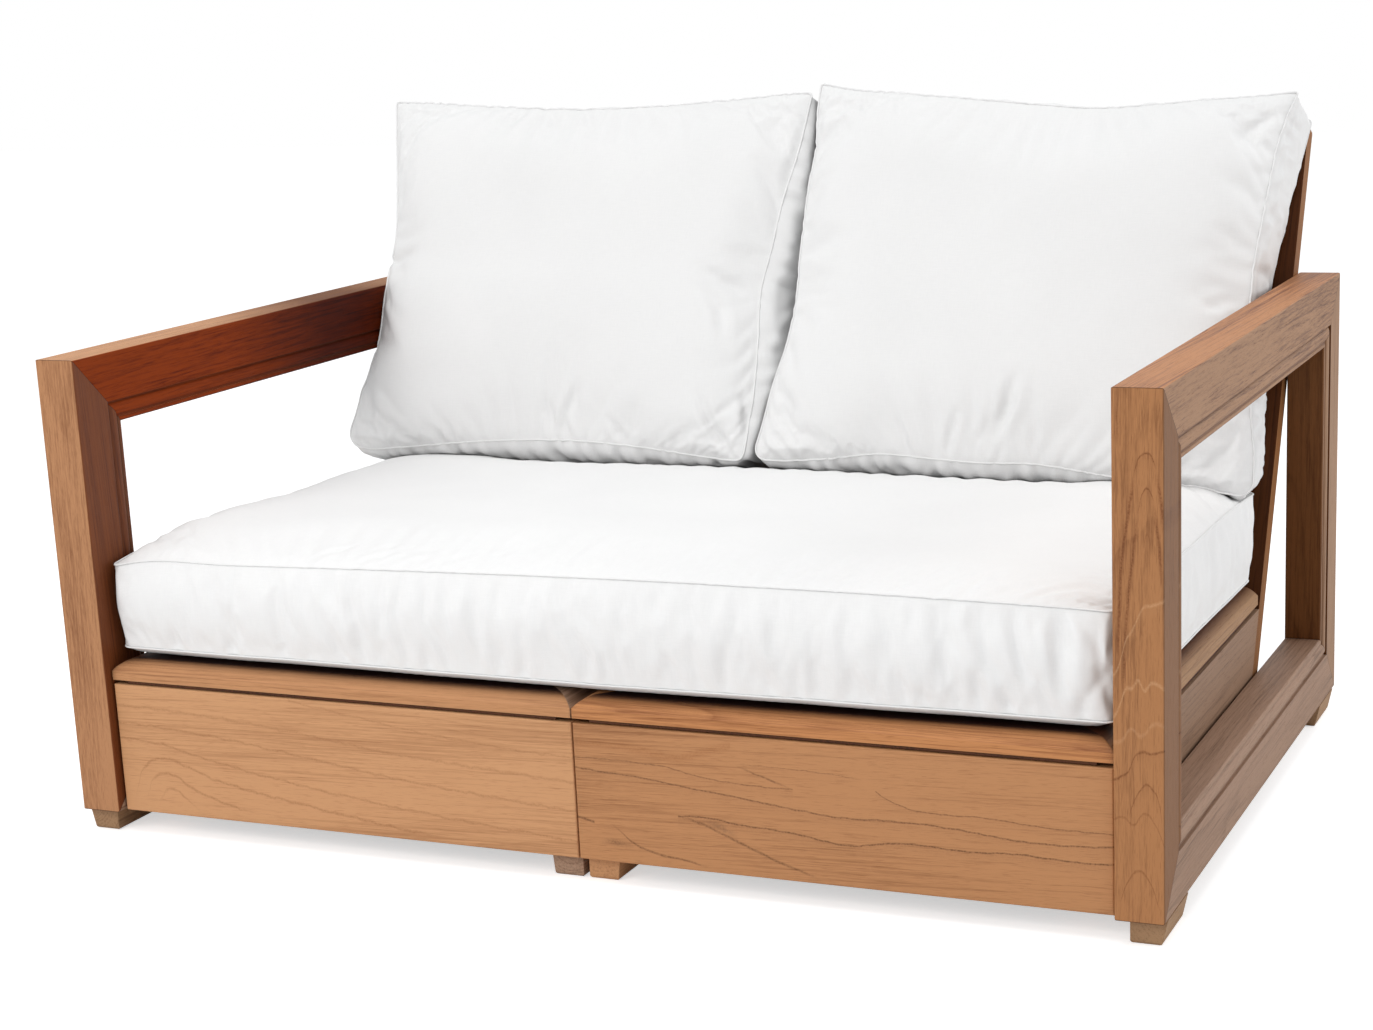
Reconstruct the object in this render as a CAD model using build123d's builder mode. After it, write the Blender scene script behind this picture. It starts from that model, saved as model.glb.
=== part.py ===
from build123d import *
import os
from math import cos, radians, sin, tan

os.makedirs("parts", exist_ok=True)

# A teak loveseat in two mirrored modules bolted together at the middle, with one long seat
# cushion and two back cushions. X runs across the seat, Y from the front to the back, Z up.
# The right module is drawn, and its pieces are mirrored for the left one.

# Overall sizes
overall_width = 1420
arm_depth = 970
arm_height = 583
foot_height = 30

# Arm frames, mitred like a picture frame, with a bead round the opening on both faces
arm_thickness = 56
arm_member_width = 90
arm_ease_radius = 2.5
moulding_flat_width = 62
quirk_width = 2.5
quirk_depth = 4
bead_width = 17
bead_drop_depth = 0.4
lip_drop_depth = 3.5
lip_ease_width = 1.5
tenon_length = 60
tenon_width = 38
tenon_thickness = 14
tenon_clearance = 0.2

# Leaning back
lean_angle = 26
heel_rear_distance = 290
back_length = 850
back_thickness = 30
stile_width = 60
top_rail_width = 70
bottom_rail_width = 60
bottom_rail_height = 215
back_slat_count = 6
back_slat_width = 50
back_slat_thickness = 14
back_slat_tenon_length = 15
rail_tenon_length = 25
rail_tenon_thickness = 12
rail_tenon_shoulder_width = 8
back_ease_radius = 3

# Base boxes
board_thickness = 22
board_height = 168
board_setback_depth = 12
board_ease_radius = 2
arm_reveal_gap = 3
seam_half_gap = 0.9
cleat_width = 40
cleat_height = 36
ledge_recess_depth = 3.5
ledge_thickness = 3.4
ledge_gap = 1
block_width = 45
bearer_width = 35
bearer_height = 55
glue_gap = 0.2

# Deck frames and seat slats
deck_thickness = 25
deck_board_width = 70
deck_gap = ledge_gap + ledge_thickness + ledge_gap
deck_bevel_width = 22
deck_bevel_height = 13
deck_bevel_crown_height = 2.2
deck_arm_gap = 2
deck_back_gap = 1
seat_slat_count = 8
seat_slat_gap = 16
seat_slat_thickness = 18
seat_slat_ease_width = 2
slat_tongue_length = 12
slat_tongue_thickness = 9

# Feet
foot_length = 92
foot_front_inset = 14
outer_foot_width = 42
outer_foot_taper_width = 7
inner_foot_width = 41
inner_foot_taper_width = 3
inner_foot_front_inset = 29
inner_foot_seam_gap = 4
inner_foot_heel_overrun = 2
foot_ease_radius = 4

# Bolts
bolt_radius = 4
bolt_clearance = 0.25
bolt_head_radius = 7.2
bolt_head_height = 5.5
washer_radius = 12
washer_thickness = 2
arm_bolt_height = 45
arm_bolt_front_distance = 150
arm_bolt_heel_distance = 140
arm_bolt_reach_length = 34
back_bolt_places = (45, 95)
back_bolt_reach_length = 30
back_head_radius = 9
back_head_height = 5
back_head_depth = 6
back_head_clearance = 0.6
joining_bolt_height = 85
joining_bolt_front_distance = 170
joining_bolt_heel_distance = 160
nut_height = 7

# Cushions
seat_cushion_front_inset = 26
seat_cushion_rear_gap = 11.6
seat_cushion_side_gap = 4
seat_boxing_height = 126
seat_crown_height = 24
seat_corner_radius = 26
seat_draw_in_depth = 7
cushion_gap = 0.5
seat_bottom_inset = 12
crown_step_shares = ((0.0, 0.0), (0.5, 0.09), (0.82, 0.28), (0.96, 0.6), (1.0, 1.0))
seat_crown_inset = 170
back_boxing_thickness = 140
back_crown_height = 34
back_crown_inset_share = 0.278
back_rear_inset = 16
back_lower_corner_radius = 38
back_upper_corner_radius = 22
left_top_draw_in_depth = 16
right_top_draw_in_depth = 22
parting_draw_in_depth = 5
back_cushion_top_gap = 4
back_cushion_side_gap = 4
left_cushion_overhang_width = 46
left_cushion_waist_gap = 9
right_cushion_overhang_width = 14
right_cushion_waist_gap = 11
parting_bottom_offset = 34
parting_top_offset = 15
cushion_parting_gap = 6
seam_tuck_depth = 5

# Derived places
lean_sin = sin(radians(lean_angle))
lean_cos = cos(radians(lean_angle))
lean_tan = tan(radians(lean_angle))
heel_depth = arm_depth - heel_rear_distance
total_depth = heel_depth + back_length * lean_sin - back_ease_radius * (lean_sin + lean_cos - 1)
front = -total_depth / 2
heel = front + heel_depth
arm_outer = overall_width / 2
arm_inner = arm_outer - arm_thickness
arm_middle = arm_outer - arm_thickness / 2
base_bottom = foot_height
arm_top = foot_height + arm_height
board_top = base_bottom + board_height
deck_bottom = board_top + deck_gap
deck_top = deck_bottom + deck_thickness
cleat_bottom = deck_bottom - cleat_height
board_front = front + board_setback_depth
board_back = board_front + board_thickness
side_board_inner = arm_inner - board_thickness
deck_outer = arm_inner - deck_arm_gap


# The place in Y of a plane parallel to the back, a distance in front of its rear face.
def lean_y(height, forward):
    return heel + (height - foot_height) * lean_tan - forward / lean_cos


back_plane = Plane(origin=(0, heel, foot_height), x_dir=(1, 0, 0), z_dir=(0, -lean_cos, lean_sin))
stile_front = back_thickness
rear_board_front = back_thickness + board_thickness
rear_cleat_front = lean_y(cleat_bottom, rear_board_front) - cleat_width
deck_back = lean_y(deck_bottom, stile_front) - deck_back_gap
side_plane = Plane.YZ


# Writes one finished piece.
def write_piece(piece, label):
    piece.part.label = label
    export_step(piece.part, f"parts/{label}.step")


# Writes a piece of the right module and its mirror image in the left one.
def write_pair(right_piece, name):
    write_piece(right_piece, f"right_{name}")
    with BuildPart() as left_piece:
        mirror(right_piece.part, about=Plane.YZ)
    write_piece(left_piece, f"left_{name}")


# ARM FRAMES
# Section of an arm member: X from its outer edge inward, Y across its thickness.
def draw_arm_section():
    half = arm_thickness / 2
    bead_start = moulding_flat_width + quirk_width
    bead_end = bead_start + bead_width
    lip_start = bead_end + quirk_width
    lip_face = half - lip_drop_depth
    with BuildLine() as outline:
        Line((0, 0), (0, half - arm_ease_radius))
        ThreePointArc(
            (0, half - arm_ease_radius),
            (arm_ease_radius * (1 - cos(radians(45))), half - arm_ease_radius * (1 - sin(radians(45)))),
            (arm_ease_radius, half),
        )
        Polyline(
            (arm_ease_radius, half),
            (moulding_flat_width, half),
            (moulding_flat_width, half - quirk_depth),
            (bead_start, half - quirk_depth),
        )
        ThreePointArc(
            (bead_start, half - quirk_depth),
            (bead_start + bead_width / 2, half - bead_drop_depth),
            (bead_end, half - quirk_depth),
        )
        Polyline(
            (bead_end, half - quirk_depth),
            (lip_start, half - quirk_depth),
            (lip_start, lip_face),
            (arm_member_width - lip_ease_width, lip_face),
            (arm_member_width, lip_face - lip_ease_width),
            (arm_member_width, 0),
        )
        mirror(about=Plane.XZ)
    make_face(outline.edges())


arm_front_y = front
arm_rear_y = front + arm_depth
mitre_corners = {
    "front_top": (arm_front_y, arm_top, 1, -1),
    "front_bottom": (arm_front_y, base_bottom, 1, 1),
    "rear_top": (arm_rear_y, arm_top, -1, -1),
    "rear_bottom": (arm_rear_y, base_bottom, -1, 1),
}


# The two ends of a mitre: the outer corner and the corner of the opening.
def mitre_points(corner):
    y, z, y_way, z_way = mitre_corners[corner]
    return (y, z), (y + y_way * arm_member_width, z + z_way * arm_member_width)


# Loose tenon across a mitre, larger all round by the given clearance.
def draw_tenon(corner, clearance, mode):
    outer, inner = mitre_points(corner)
    middle = ((outer[0] + inner[0]) / 2, (outer[1] + inner[1]) / 2)
    turn = 45 if mitre_corners[corner][2] != mitre_corners[corner][3] else -45
    with BuildSketch(side_plane.offset(arm_middle)) as tenon:
        with Locations(middle):
            SlotOverall(tenon_length + 2 * clearance, tenon_width + 2 * clearance, rotation=turn)
    extrude(tenon.sketch, amount=tenon_thickness / 2 + clearance, both=True, mode=mode)


# One arm member: its section run the whole length, cut to the mitres, and mortised.
def make_arm_member(section_plane, length, first, second):
    with BuildPart() as member:
        with BuildSketch(section_plane):
            draw_arm_section()
        extrude(amount=length / 2, both=True)
        first_outer, first_inner = mitre_points(first)
        second_outer, second_inner = mitre_points(second)
        with BuildSketch(side_plane.offset(arm_middle)):
            with BuildLine():
                Polyline(first_outer, second_outer, second_inner, first_inner, close=True)
            make_face()
        extrude(amount=arm_thickness, both=True, mode=Mode.INTERSECT)
        draw_tenon(first, tenon_clearance, Mode.SUBTRACT)
        draw_tenon(second, tenon_clearance, Mode.SUBTRACT)
    return member


arm_mid_y = (arm_front_y + arm_rear_y) / 2
arm_mid_z = (base_bottom + arm_top) / 2
post_front_plane = Plane(origin=(arm_middle, arm_front_y, arm_mid_z), x_dir=(0, 1, 0), z_dir=(0, 0, 1))
post_rear_plane = Plane(origin=(arm_middle, arm_rear_y, arm_mid_z), x_dir=(0, -1, 0), z_dir=(0, 0, 1))
rail_top_plane = Plane(origin=(arm_middle, arm_mid_y, arm_top), x_dir=(0, 0, -1), z_dir=(0, 1, 0))
rail_bottom_plane = Plane(origin=(arm_middle, arm_mid_y, base_bottom), x_dir=(0, 0, 1), z_dir=(0, 1, 0))

arm_front_post = make_arm_member(post_front_plane, arm_height, "front_top", "front_bottom")
arm_rear_post = make_arm_member(post_rear_plane, arm_height, "rear_top", "rear_bottom")
arm_top_rail = make_arm_member(rail_top_plane, arm_depth, "front_top", "rear_top")

# The bottom rail also takes the bolts that hold the arm to the base.
arm_bottom_member = make_arm_member(rail_bottom_plane, arm_depth, "front_bottom", "rear_bottom")
arm_bolt_front = front + arm_bolt_front_distance
arm_bolt_rear = heel - arm_bolt_heel_distance
arm_bolt_points = [
    (place, base_bottom + arm_bolt_height)
    for place in (arm_bolt_front, (arm_bolt_front + arm_bolt_rear) / 2, arm_bolt_rear)
]
with BuildPart() as arm_bottom_rail:
    add(arm_bottom_member.part)
    with BuildSketch(side_plane.offset(arm_inner)):
        with Locations(*arm_bolt_points):
            Circle(bolt_radius + bolt_clearance)
    extrude(amount=arm_bolt_reach_length + bolt_clearance, mode=Mode.SUBTRACT)

with BuildPart() as arm_tenons:
    for corner_name in mitre_corners:
        draw_tenon(corner_name, 0, Mode.ADD)

write_pair(arm_front_post, "arm_front_post")
write_pair(arm_rear_post, "arm_rear_post")
write_pair(arm_top_rail, "arm_top_rail")
write_pair(arm_bottom_rail, "arm_bottom_rail")
write_pair(arm_tenons, "arm_tenons")

# BASE BOX
# The front board covers the ends of the side boards, with its face edges eased.
with BuildPart() as front_board:
    with BuildSketch(Plane.XZ.offset(-board_front)):
        with BuildLine():
            Polyline(
                (seam_half_gap, base_bottom),
                (arm_inner - arm_reveal_gap, base_bottom),
                (arm_inner - arm_reveal_gap, board_top),
                (seam_half_gap, board_top),
                close=True,
            )
        make_face()
    extrude(amount=-board_thickness)
    fillet(front_board.faces().sort_by(Axis.Y)[0].edges(), radius=board_ease_radius)
write_pair(front_board, "front_board")


# A side board runs from the front board to the leaning back, which its rear end fits.
def make_side_board(low_x, high_x, hole_points, hole_radius):
    with BuildPart() as side_board:
        with BuildSketch(side_plane.offset(low_x)):
            with BuildLine():
                Polyline(
                    (board_back, base_bottom),
                    (lean_y(base_bottom, stile_front), base_bottom),
                    (lean_y(board_top, stile_front), board_top),
                    (board_back, board_top),
                    close=True,
                )
            make_face()
            with Locations(*hole_points):
                Circle(hole_radius, mode=Mode.SUBTRACT)
        extrude(amount=high_x - low_x)
    return side_board


joining_points = [
    (place, base_bottom + joining_bolt_height)
    for place in (front + joining_bolt_front_distance, heel - joining_bolt_heel_distance)
]
outer_side_board = make_side_board(
    side_board_inner, arm_inner, arm_bolt_points, bolt_radius + bolt_clearance
)
inner_side_board = make_side_board(0, board_thickness, joining_points, bolt_radius + bolt_clearance)
write_pair(outer_side_board, "outer_side_board")
write_pair(inner_side_board, "inner_side_board")

# Bolts through the stiles, the rear board and the rear corner blocks, square to the back
back_bolt_xs = (board_thickness + block_width / 2, side_board_inner - block_width / 2)
back_bolt_points = [(x, place) for x in back_bolt_xs for place in back_bolt_places]
back_bolt_end = rear_board_front + back_bolt_reach_length


# Round holes or shanks square to the back, over a stretch of its depth.
def draw_back_rounds(points, radius, start, end, mode):
    with BuildSketch(back_plane.offset(start)) as rounds:
        with Locations(*points):
            Circle(radius)
    extrude(rounds.sketch, amount=end - start, mode=mode)


# The rear board lies flat against the fronts of the stiles.
with BuildPart() as rear_board:
    with BuildSketch(side_plane.offset(board_thickness)):
        with BuildLine():
            Polyline(
                (lean_y(base_bottom, stile_front), base_bottom),
                (lean_y(board_top, stile_front), board_top),
                (lean_y(board_top, rear_board_front), board_top),
                (lean_y(base_bottom, rear_board_front), base_bottom),
                close=True,
            )
        make_face()
    extrude(amount=side_board_inner - board_thickness)
    draw_back_rounds(
        back_bolt_points, bolt_radius + bolt_clearance, 0, back_bolt_end, Mode.SUBTRACT
    )
write_pair(rear_board, "rear_board")

# Cleats inside the box carry the deck. Each has a thin ledge that fills the shadow gap.
ledge_bottom = board_top + ledge_gap
ledge_top = ledge_bottom + ledge_thickness
cleat_back = board_back + cleat_width
with BuildPart() as base_cleats:
    with BuildSketch(side_plane.offset(board_thickness)):
        with BuildLine():
            Polyline(
                (board_back, cleat_bottom),
                (cleat_back, cleat_bottom),
                (cleat_back, deck_bottom),
                (board_back, deck_bottom),
                (board_back, ledge_top),
                (board_front + ledge_recess_depth, ledge_top),
                (board_front + ledge_recess_depth, ledge_bottom),
                (board_back, ledge_bottom),
                close=True,
            )
        make_face()
        with BuildLine():
            Polyline(
                (lean_y(cleat_bottom, rear_board_front), cleat_bottom),
                (rear_cleat_front, cleat_bottom),
                (rear_cleat_front, deck_bottom),
                (lean_y(deck_bottom, rear_board_front), deck_bottom),
                close=True,
            )
        make_face()
    extrude(amount=side_board_inner - board_thickness)
    with BuildSketch(Plane.XZ.offset(-(cleat_back + glue_gap))):
        with BuildLine():
            Polyline(
                (board_thickness, cleat_bottom),
                (board_thickness + cleat_width, cleat_bottom),
                (board_thickness + cleat_width, deck_bottom),
                (board_thickness, deck_bottom),
                (board_thickness, ledge_top),
                (ledge_recess_depth, ledge_top),
                (ledge_recess_depth, ledge_bottom),
                (board_thickness, ledge_bottom),
                close=True,
            )
        make_face()
        with BuildLine():
            Polyline(
                (side_board_inner, cleat_bottom),
                (side_board_inner - cleat_width, cleat_bottom),
                (side_board_inner - cleat_width, deck_bottom),
                (side_board_inner, deck_bottom),
                (side_board_inner, ledge_top),
                (arm_inner - ledge_recess_depth, ledge_top),
                (arm_inner - ledge_recess_depth, ledge_bottom),
                (side_board_inner, ledge_bottom),
                close=True,
            )
        make_face()
    extrude(amount=-(rear_cleat_front - cleat_back - 2 * glue_gap))
write_pair(base_cleats, "base_cleats")

# Corner blocks stand below the cleats. The rear ones follow the lean of the rear board.
with BuildPart() as corner_blocks:
    for block_x in (board_thickness, side_board_inner - block_width):
        with BuildSketch(side_plane.offset(block_x)):
            with BuildLine():
                Polyline(
                    (board_back, base_bottom),
                    (board_back + block_width, base_bottom),
                    (board_back + block_width, cleat_bottom),
                    (board_back, cleat_bottom),
                    close=True,
                )
            make_face()
            with BuildLine():
                Polyline(
                    (lean_y(base_bottom, rear_board_front), base_bottom),
                    (lean_y(cleat_bottom, rear_board_front), cleat_bottom),
                    (lean_y(base_bottom, rear_board_front) - block_width, cleat_bottom),
                    (lean_y(base_bottom, rear_board_front) - block_width, base_bottom),
                    close=True,
                )
            make_face()
        extrude(amount=block_width)
    draw_back_rounds(
        back_bolt_points,
        bolt_radius + bolt_clearance,
        0,
        back_bolt_end + bolt_clearance,
        Mode.SUBTRACT,
    )
write_pair(corner_blocks, "corner_blocks")

# DECK
deck_front = board_front
deck_inner = seam_half_gap
deck_front_inside = deck_front + deck_board_width
deck_rear_inside = deck_back - deck_board_width
deck_inner_inside = deck_inner + deck_board_width
deck_outer_inside = deck_outer - deck_board_width
slat_bottom = deck_top - seat_slat_thickness
tongue_bottom = slat_bottom + (seat_slat_thickness - slat_tongue_thickness) / 2


# Section of a deck board with its rounded bevel: X from the outer edge inward, Y up.
def draw_deck_section(grooved):
    edge = deck_thickness - deck_bevel_height
    slope = (deck_bevel_width**2 + deck_bevel_height**2) ** 0.5
    crown = (
        deck_bevel_width / 2 - deck_bevel_crown_height * deck_bevel_height / slope,
        edge + deck_bevel_height / 2 + deck_bevel_crown_height * deck_bevel_width / slope,
    )
    groove_low = tongue_bottom - deck_bottom
    groove_high = groove_low + slat_tongue_thickness + tenon_clearance
    groove_floor = deck_board_width - slat_tongue_length - tenon_clearance
    with BuildLine() as outline:
        Polyline((deck_bevel_width, deck_thickness), (deck_board_width, deck_thickness))
        if grooved:
            Polyline(
                (deck_board_width, deck_thickness),
                (deck_board_width, groove_high),
                (groove_floor, groove_high),
                (groove_floor, groove_low),
                (deck_board_width, groove_low),
                (deck_board_width, 0),
            )
        else:
            Line((deck_board_width, deck_thickness), (deck_board_width, 0))
        Polyline((deck_board_width, 0), (0, 0), (0, edge))
        ThreePointArc((0, edge), crown, (deck_bevel_width, deck_thickness))
    make_face(outline.edges())


# A deck board: its section run along the edge, cut to the outline seen from above.
def make_deck_board(section_plane, length, outline, grooved):
    with BuildPart() as deck_piece:
        with BuildSketch(section_plane):
            draw_deck_section(grooved)
        extrude(amount=length)
        with BuildSketch(Plane.XY.offset(deck_bottom)):
            with BuildLine():
                Polyline(*outline, close=True)
            make_face()
        extrude(amount=deck_thickness, mode=Mode.INTERSECT)
    return deck_piece


deck_front_board = make_deck_board(
    Plane(origin=(deck_inner, deck_front, deck_bottom), x_dir=(0, 1, 0), z_dir=(1, 0, 0)),
    deck_outer - deck_inner,
    (
        (deck_inner, deck_front),
        (deck_outer, deck_front),
        (deck_outer_inside, deck_front_inside),
        (deck_inner_inside, deck_front_inside),
    ),
    False,
)
deck_inner_board = make_deck_board(
    Plane(origin=(deck_inner, deck_back, deck_bottom), x_dir=(1, 0, 0), z_dir=(0, -1, 0)),
    deck_back - deck_front,
    (
        (deck_inner, deck_front),
        (deck_inner_inside, deck_front_inside),
        (deck_inner_inside, deck_back),
        (deck_inner, deck_back),
    ),
    True,
)
deck_outer_board = make_deck_board(
    Plane(origin=(deck_outer, deck_front, deck_bottom), x_dir=(-1, 0, 0), z_dir=(0, 1, 0)),
    deck_back - deck_front,
    (
        (deck_outer, deck_front),
        (deck_outer_inside, deck_front_inside),
        (deck_outer_inside, deck_back),
        (deck_outer, deck_back),
    ),
    True,
)
with BuildPart() as deck_rear_board:
    with BuildSketch(Plane.XY.offset(deck_bottom)):
        with BuildLine():
            Polyline(
                (deck_inner_inside, deck_rear_inside),
                (deck_outer_inside, deck_rear_inside),
                (deck_outer_inside, deck_back),
                (deck_inner_inside, deck_back),
                close=True,
            )
        make_face()
    extrude(amount=deck_thickness)
write_pair(deck_front_board, "deck_front_board")
write_pair(deck_inner_board, "deck_inner_board")
write_pair(deck_outer_board, "deck_outer_board")
write_pair(deck_rear_board, "deck_rear_board")

# Seat slats run across each module, with tongues in the grooved deck boards.
slat_space = deck_rear_inside - deck_front_inside
seat_slat_width = (slat_space - (seat_slat_count + 1) * seat_slat_gap) / seat_slat_count
slat_pitch = seat_slat_width + seat_slat_gap
slat_middle = (deck_inner_inside + deck_outer_inside) / 2
slat_run = deck_outer_inside - deck_inner_inside
slat_places = [
    (slat_middle, deck_front_inside + seat_slat_gap + seat_slat_width / 2 + slat_pitch * index)
    for index in range(seat_slat_count)
]
with BuildPart() as seat_slats:
    with BuildSketch(Plane.XY.offset(slat_bottom)):
        with Locations(*slat_places):
            Rectangle(slat_run, seat_slat_width)
    extrude(amount=seat_slat_thickness)
    chamfer(seat_slats.faces().group_by(Axis.Z)[-1].edges().filter_by(Axis.X), seat_slat_ease_width)
    with BuildSketch(Plane.XY.offset(tongue_bottom)):
        with Locations(*slat_places):
            Rectangle(
                slat_run + 2 * slat_tongue_length, seat_slat_width - 2 * seat_slat_ease_width
            )
    extrude(amount=slat_tongue_thickness)
write_pair(seat_slats, "seat_slats")

# The bearer runs under the middle of the slats, from cleat to cleat.
with BuildPart() as slat_bearer:
    with BuildSketch(side_plane.offset(slat_middle - bearer_width / 2)):
        with BuildLine():
            Polyline(
                (cleat_back, slat_bottom - bearer_height),
                (rear_cleat_front, slat_bottom - bearer_height),
                (rear_cleat_front, deck_bottom),
                (deck_rear_inside, deck_bottom),
                (deck_rear_inside, slat_bottom),
                (deck_front_inside, slat_bottom),
                (deck_front_inside, deck_bottom),
                (cleat_back, deck_bottom),
                close=True,
            )
        make_face()
    extrude(amount=bearer_width)
write_pair(slat_bearer, "slat_bearer")

# LEANING BACK
# The rail ends and the slat ends are tenoned, and the pieces they enter are mortised.
inner_stile_x = (seam_half_gap, seam_half_gap + stile_width)
outer_stile_x = (arm_inner - stile_width, arm_inner)
rail_low_x = inner_stile_x[1]
rail_high_x = outer_stile_x[0]
rail_middle = (rail_low_x + rail_high_x) / 2
rail_run = rail_high_x - rail_low_x
top_rail_start = back_length - top_rail_width
bottom_rail_end = bottom_rail_height + bottom_rail_width
back_centre = back_thickness / 2
rail_bands = (
    (bottom_rail_height + bottom_rail_width / 2, bottom_rail_width),
    (top_rail_start + top_rail_width / 2, top_rail_width),
)


# The tenon of a rail, drawn right across both stiles' inner edges.
def draw_rail_tenon(band, clearance, mode):
    with BuildSketch(back_plane.offset(back_centre)) as tenon:
        with Locations((rail_middle, band[0])):
            Rectangle(
                rail_run + 2 * rail_tenon_length + 2 * clearance,
                band[1] - 2 * rail_tenon_shoulder_width + 2 * clearance,
            )
    extrude(tenon.sketch, amount=rail_tenon_thickness / 2 + clearance, both=True, mode=mode)


# A stile stands on the level of the base and takes both rails.
def make_stile(low_x, high_x):
    foot_drop = back_thickness * lean_tan
    middle_x = (low_x + high_x) / 2
    with BuildPart() as stile:
        with BuildSketch(back_plane):
            with Locations((middle_x, (back_length - foot_drop) / 2)):
                Rectangle(high_x - low_x, back_length + foot_drop)
        extrude(amount=back_thickness)
        fillet(stile.faces().sort_by(Axis.Z)[-1].edges().filter_by(Axis.X), radius=back_ease_radius)
        split(bisect_by=Plane.XY.offset(base_bottom), keep=Keep.TOP)
        for band in rail_bands:
            draw_rail_tenon(band, tenon_clearance, Mode.SUBTRACT)
        draw_back_rounds(
            back_bolt_points, bolt_radius + bolt_clearance, 0, back_thickness, Mode.SUBTRACT
        )
        draw_back_rounds(
            back_bolt_points,
            back_head_radius + back_head_clearance,
            0,
            back_head_depth,
            Mode.SUBTRACT,
        )
    return stile


back_inner_stile = make_stile(*inner_stile_x)
back_outer_stile = make_stile(*outer_stile_x)
write_pair(back_inner_stile, "back_inner_stile")
write_pair(back_outer_stile, "back_outer_stile")

back_slat_gap = (rail_run - back_slat_count * back_slat_width) / (back_slat_count + 1)
back_slat_pitch = back_slat_width + back_slat_gap
back_slat_low = bottom_rail_end - back_slat_tenon_length
back_slat_high = top_rail_start + back_slat_tenon_length
back_slat_places = [
    (
        rail_low_x + back_slat_gap + back_slat_width / 2 + back_slat_pitch * index,
        (back_slat_low + back_slat_high) / 2,
    )
    for index in range(back_slat_count)
]


# All the back slats of a module, larger all round by the given clearance.
def draw_back_slats(clearance, mode):
    with BuildSketch(back_plane.offset(back_centre)) as slats:
        with Locations(*back_slat_places):
            Rectangle(
                back_slat_width + 2 * clearance, back_slat_high - back_slat_low + 2 * clearance
            )
    extrude(slats.sketch, amount=back_slat_thickness / 2 + clearance, both=True, mode=mode)


# A back rail with its end tenons and the mortises for the slats.
def make_back_rail(band):
    with BuildPart() as rail:
        with BuildSketch(back_plane):
            with Locations((rail_middle, band[0])):
                Rectangle(rail_run, band[1])
        extrude(amount=back_thickness)
        fillet(rail.faces().sort_by(Axis.Z)[-1].edges().filter_by(Axis.X), radius=back_ease_radius)
        draw_rail_tenon(band, 0, Mode.ADD)
        draw_back_slats(tenon_clearance, Mode.SUBTRACT)
    return rail


back_bottom_rail = make_back_rail(rail_bands[0])
back_top_rail = make_back_rail(rail_bands[1])
with BuildPart() as back_slats:
    draw_back_slats(0, Mode.ADD)
write_pair(back_bottom_rail, "back_bottom_rail")
write_pair(back_top_rail, "back_top_rail")
write_pair(back_slats, "back_slats")


# FEET
# A foot seen from the front: square beside the seam or the opening, tapered on the other side.
def draw_foot(straight_x, width, taper):
    with BuildLine() as outline:
        Polyline(
            (straight_x, 0),
            (straight_x + width - taper, 0),
            (straight_x + width, foot_height),
            (straight_x, foot_height),
            close=True,
        )
    make_face(outline.edges())


# A pair of feet, one at the front and one at the rear, with their lower edges eased.
def make_feet(straight_x, width, taper, places):
    with BuildPart() as feet:
        for place in places:
            with BuildSketch(Plane.XZ.offset(-(front + place))):
                draw_foot(straight_x, width, taper)
            extrude(amount=-foot_length)
        fillet(feet.faces().filter_by(Axis.Z).group_by(Axis.Z)[0].edges(), radius=foot_ease_radius)
    return feet


outer_feet = make_feet(
    arm_outer - outer_foot_width,
    outer_foot_width,
    outer_foot_taper_width,
    (foot_front_inset, arm_depth - foot_front_inset - foot_length),
)
inner_feet = make_feet(
    inner_foot_seam_gap,
    inner_foot_width,
    inner_foot_taper_width,
    (inner_foot_front_inset, heel_depth - foot_length + inner_foot_heel_overrun),
)
write_pair(outer_feet, "outer_feet")
write_pair(inner_feet, "inner_feet")


# BOLTS
# Hexagon bolts with washers along X. The head side is the low side of X.
def draw_bolt(points, head_face, reach):
    with BuildSketch(side_plane.offset(head_face)) as shanks:
        with Locations(*points):
            Circle(bolt_radius)
    extrude(shanks.sketch, amount=reach)
    with BuildSketch(side_plane.offset(head_face)) as washers:
        with Locations(*points):
            Circle(washer_radius)
    extrude(washers.sketch, amount=-washer_thickness)
    with BuildSketch(side_plane.offset(head_face - washer_thickness)) as heads:
        with Locations(*points):
            RegularPolygon(bolt_head_radius, side_count=6)
    extrude(heads.sketch, amount=-bolt_head_height)


with BuildPart() as arm_bolts:
    draw_bolt(arm_bolt_points, side_board_inner, board_thickness + arm_bolt_reach_length)
write_pair(arm_bolts, "arm_bolts")

with BuildPart() as back_bolts:
    draw_back_rounds(back_bolt_points, bolt_radius, back_head_depth, back_bolt_end, Mode.ADD)
    draw_back_rounds(
        back_bolt_points,
        back_head_radius,
        back_head_depth - back_head_height,
        back_head_depth,
        Mode.ADD,
    )
write_pair(back_bolts, "back_bolts")

# The joining bolts hold the two inner side boards together, with a washer and nut each.
with BuildPart() as joining_bolts:
    draw_bolt(
        joining_points,
        -board_thickness,
        2 * board_thickness + washer_thickness + nut_height + bolt_clearance,
    )
with BuildPart() as joining_nuts:
    with BuildSketch(side_plane.offset(board_thickness)):
        with Locations(*joining_points):
            Circle(washer_radius)
            Circle(bolt_radius + bolt_clearance, mode=Mode.SUBTRACT)
    extrude(amount=washer_thickness)
    with BuildSketch(side_plane.offset(board_thickness + washer_thickness)):
        with Locations(*joining_points):
            RegularPolygon(bolt_head_radius, side_count=6)
            Circle(bolt_radius + bolt_clearance, mode=Mode.SUBTRACT)
    extrude(amount=nut_height)
write_piece(joining_bolts, "joining_bolts")
write_piece(joining_nuts, "joining_nuts")


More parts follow.
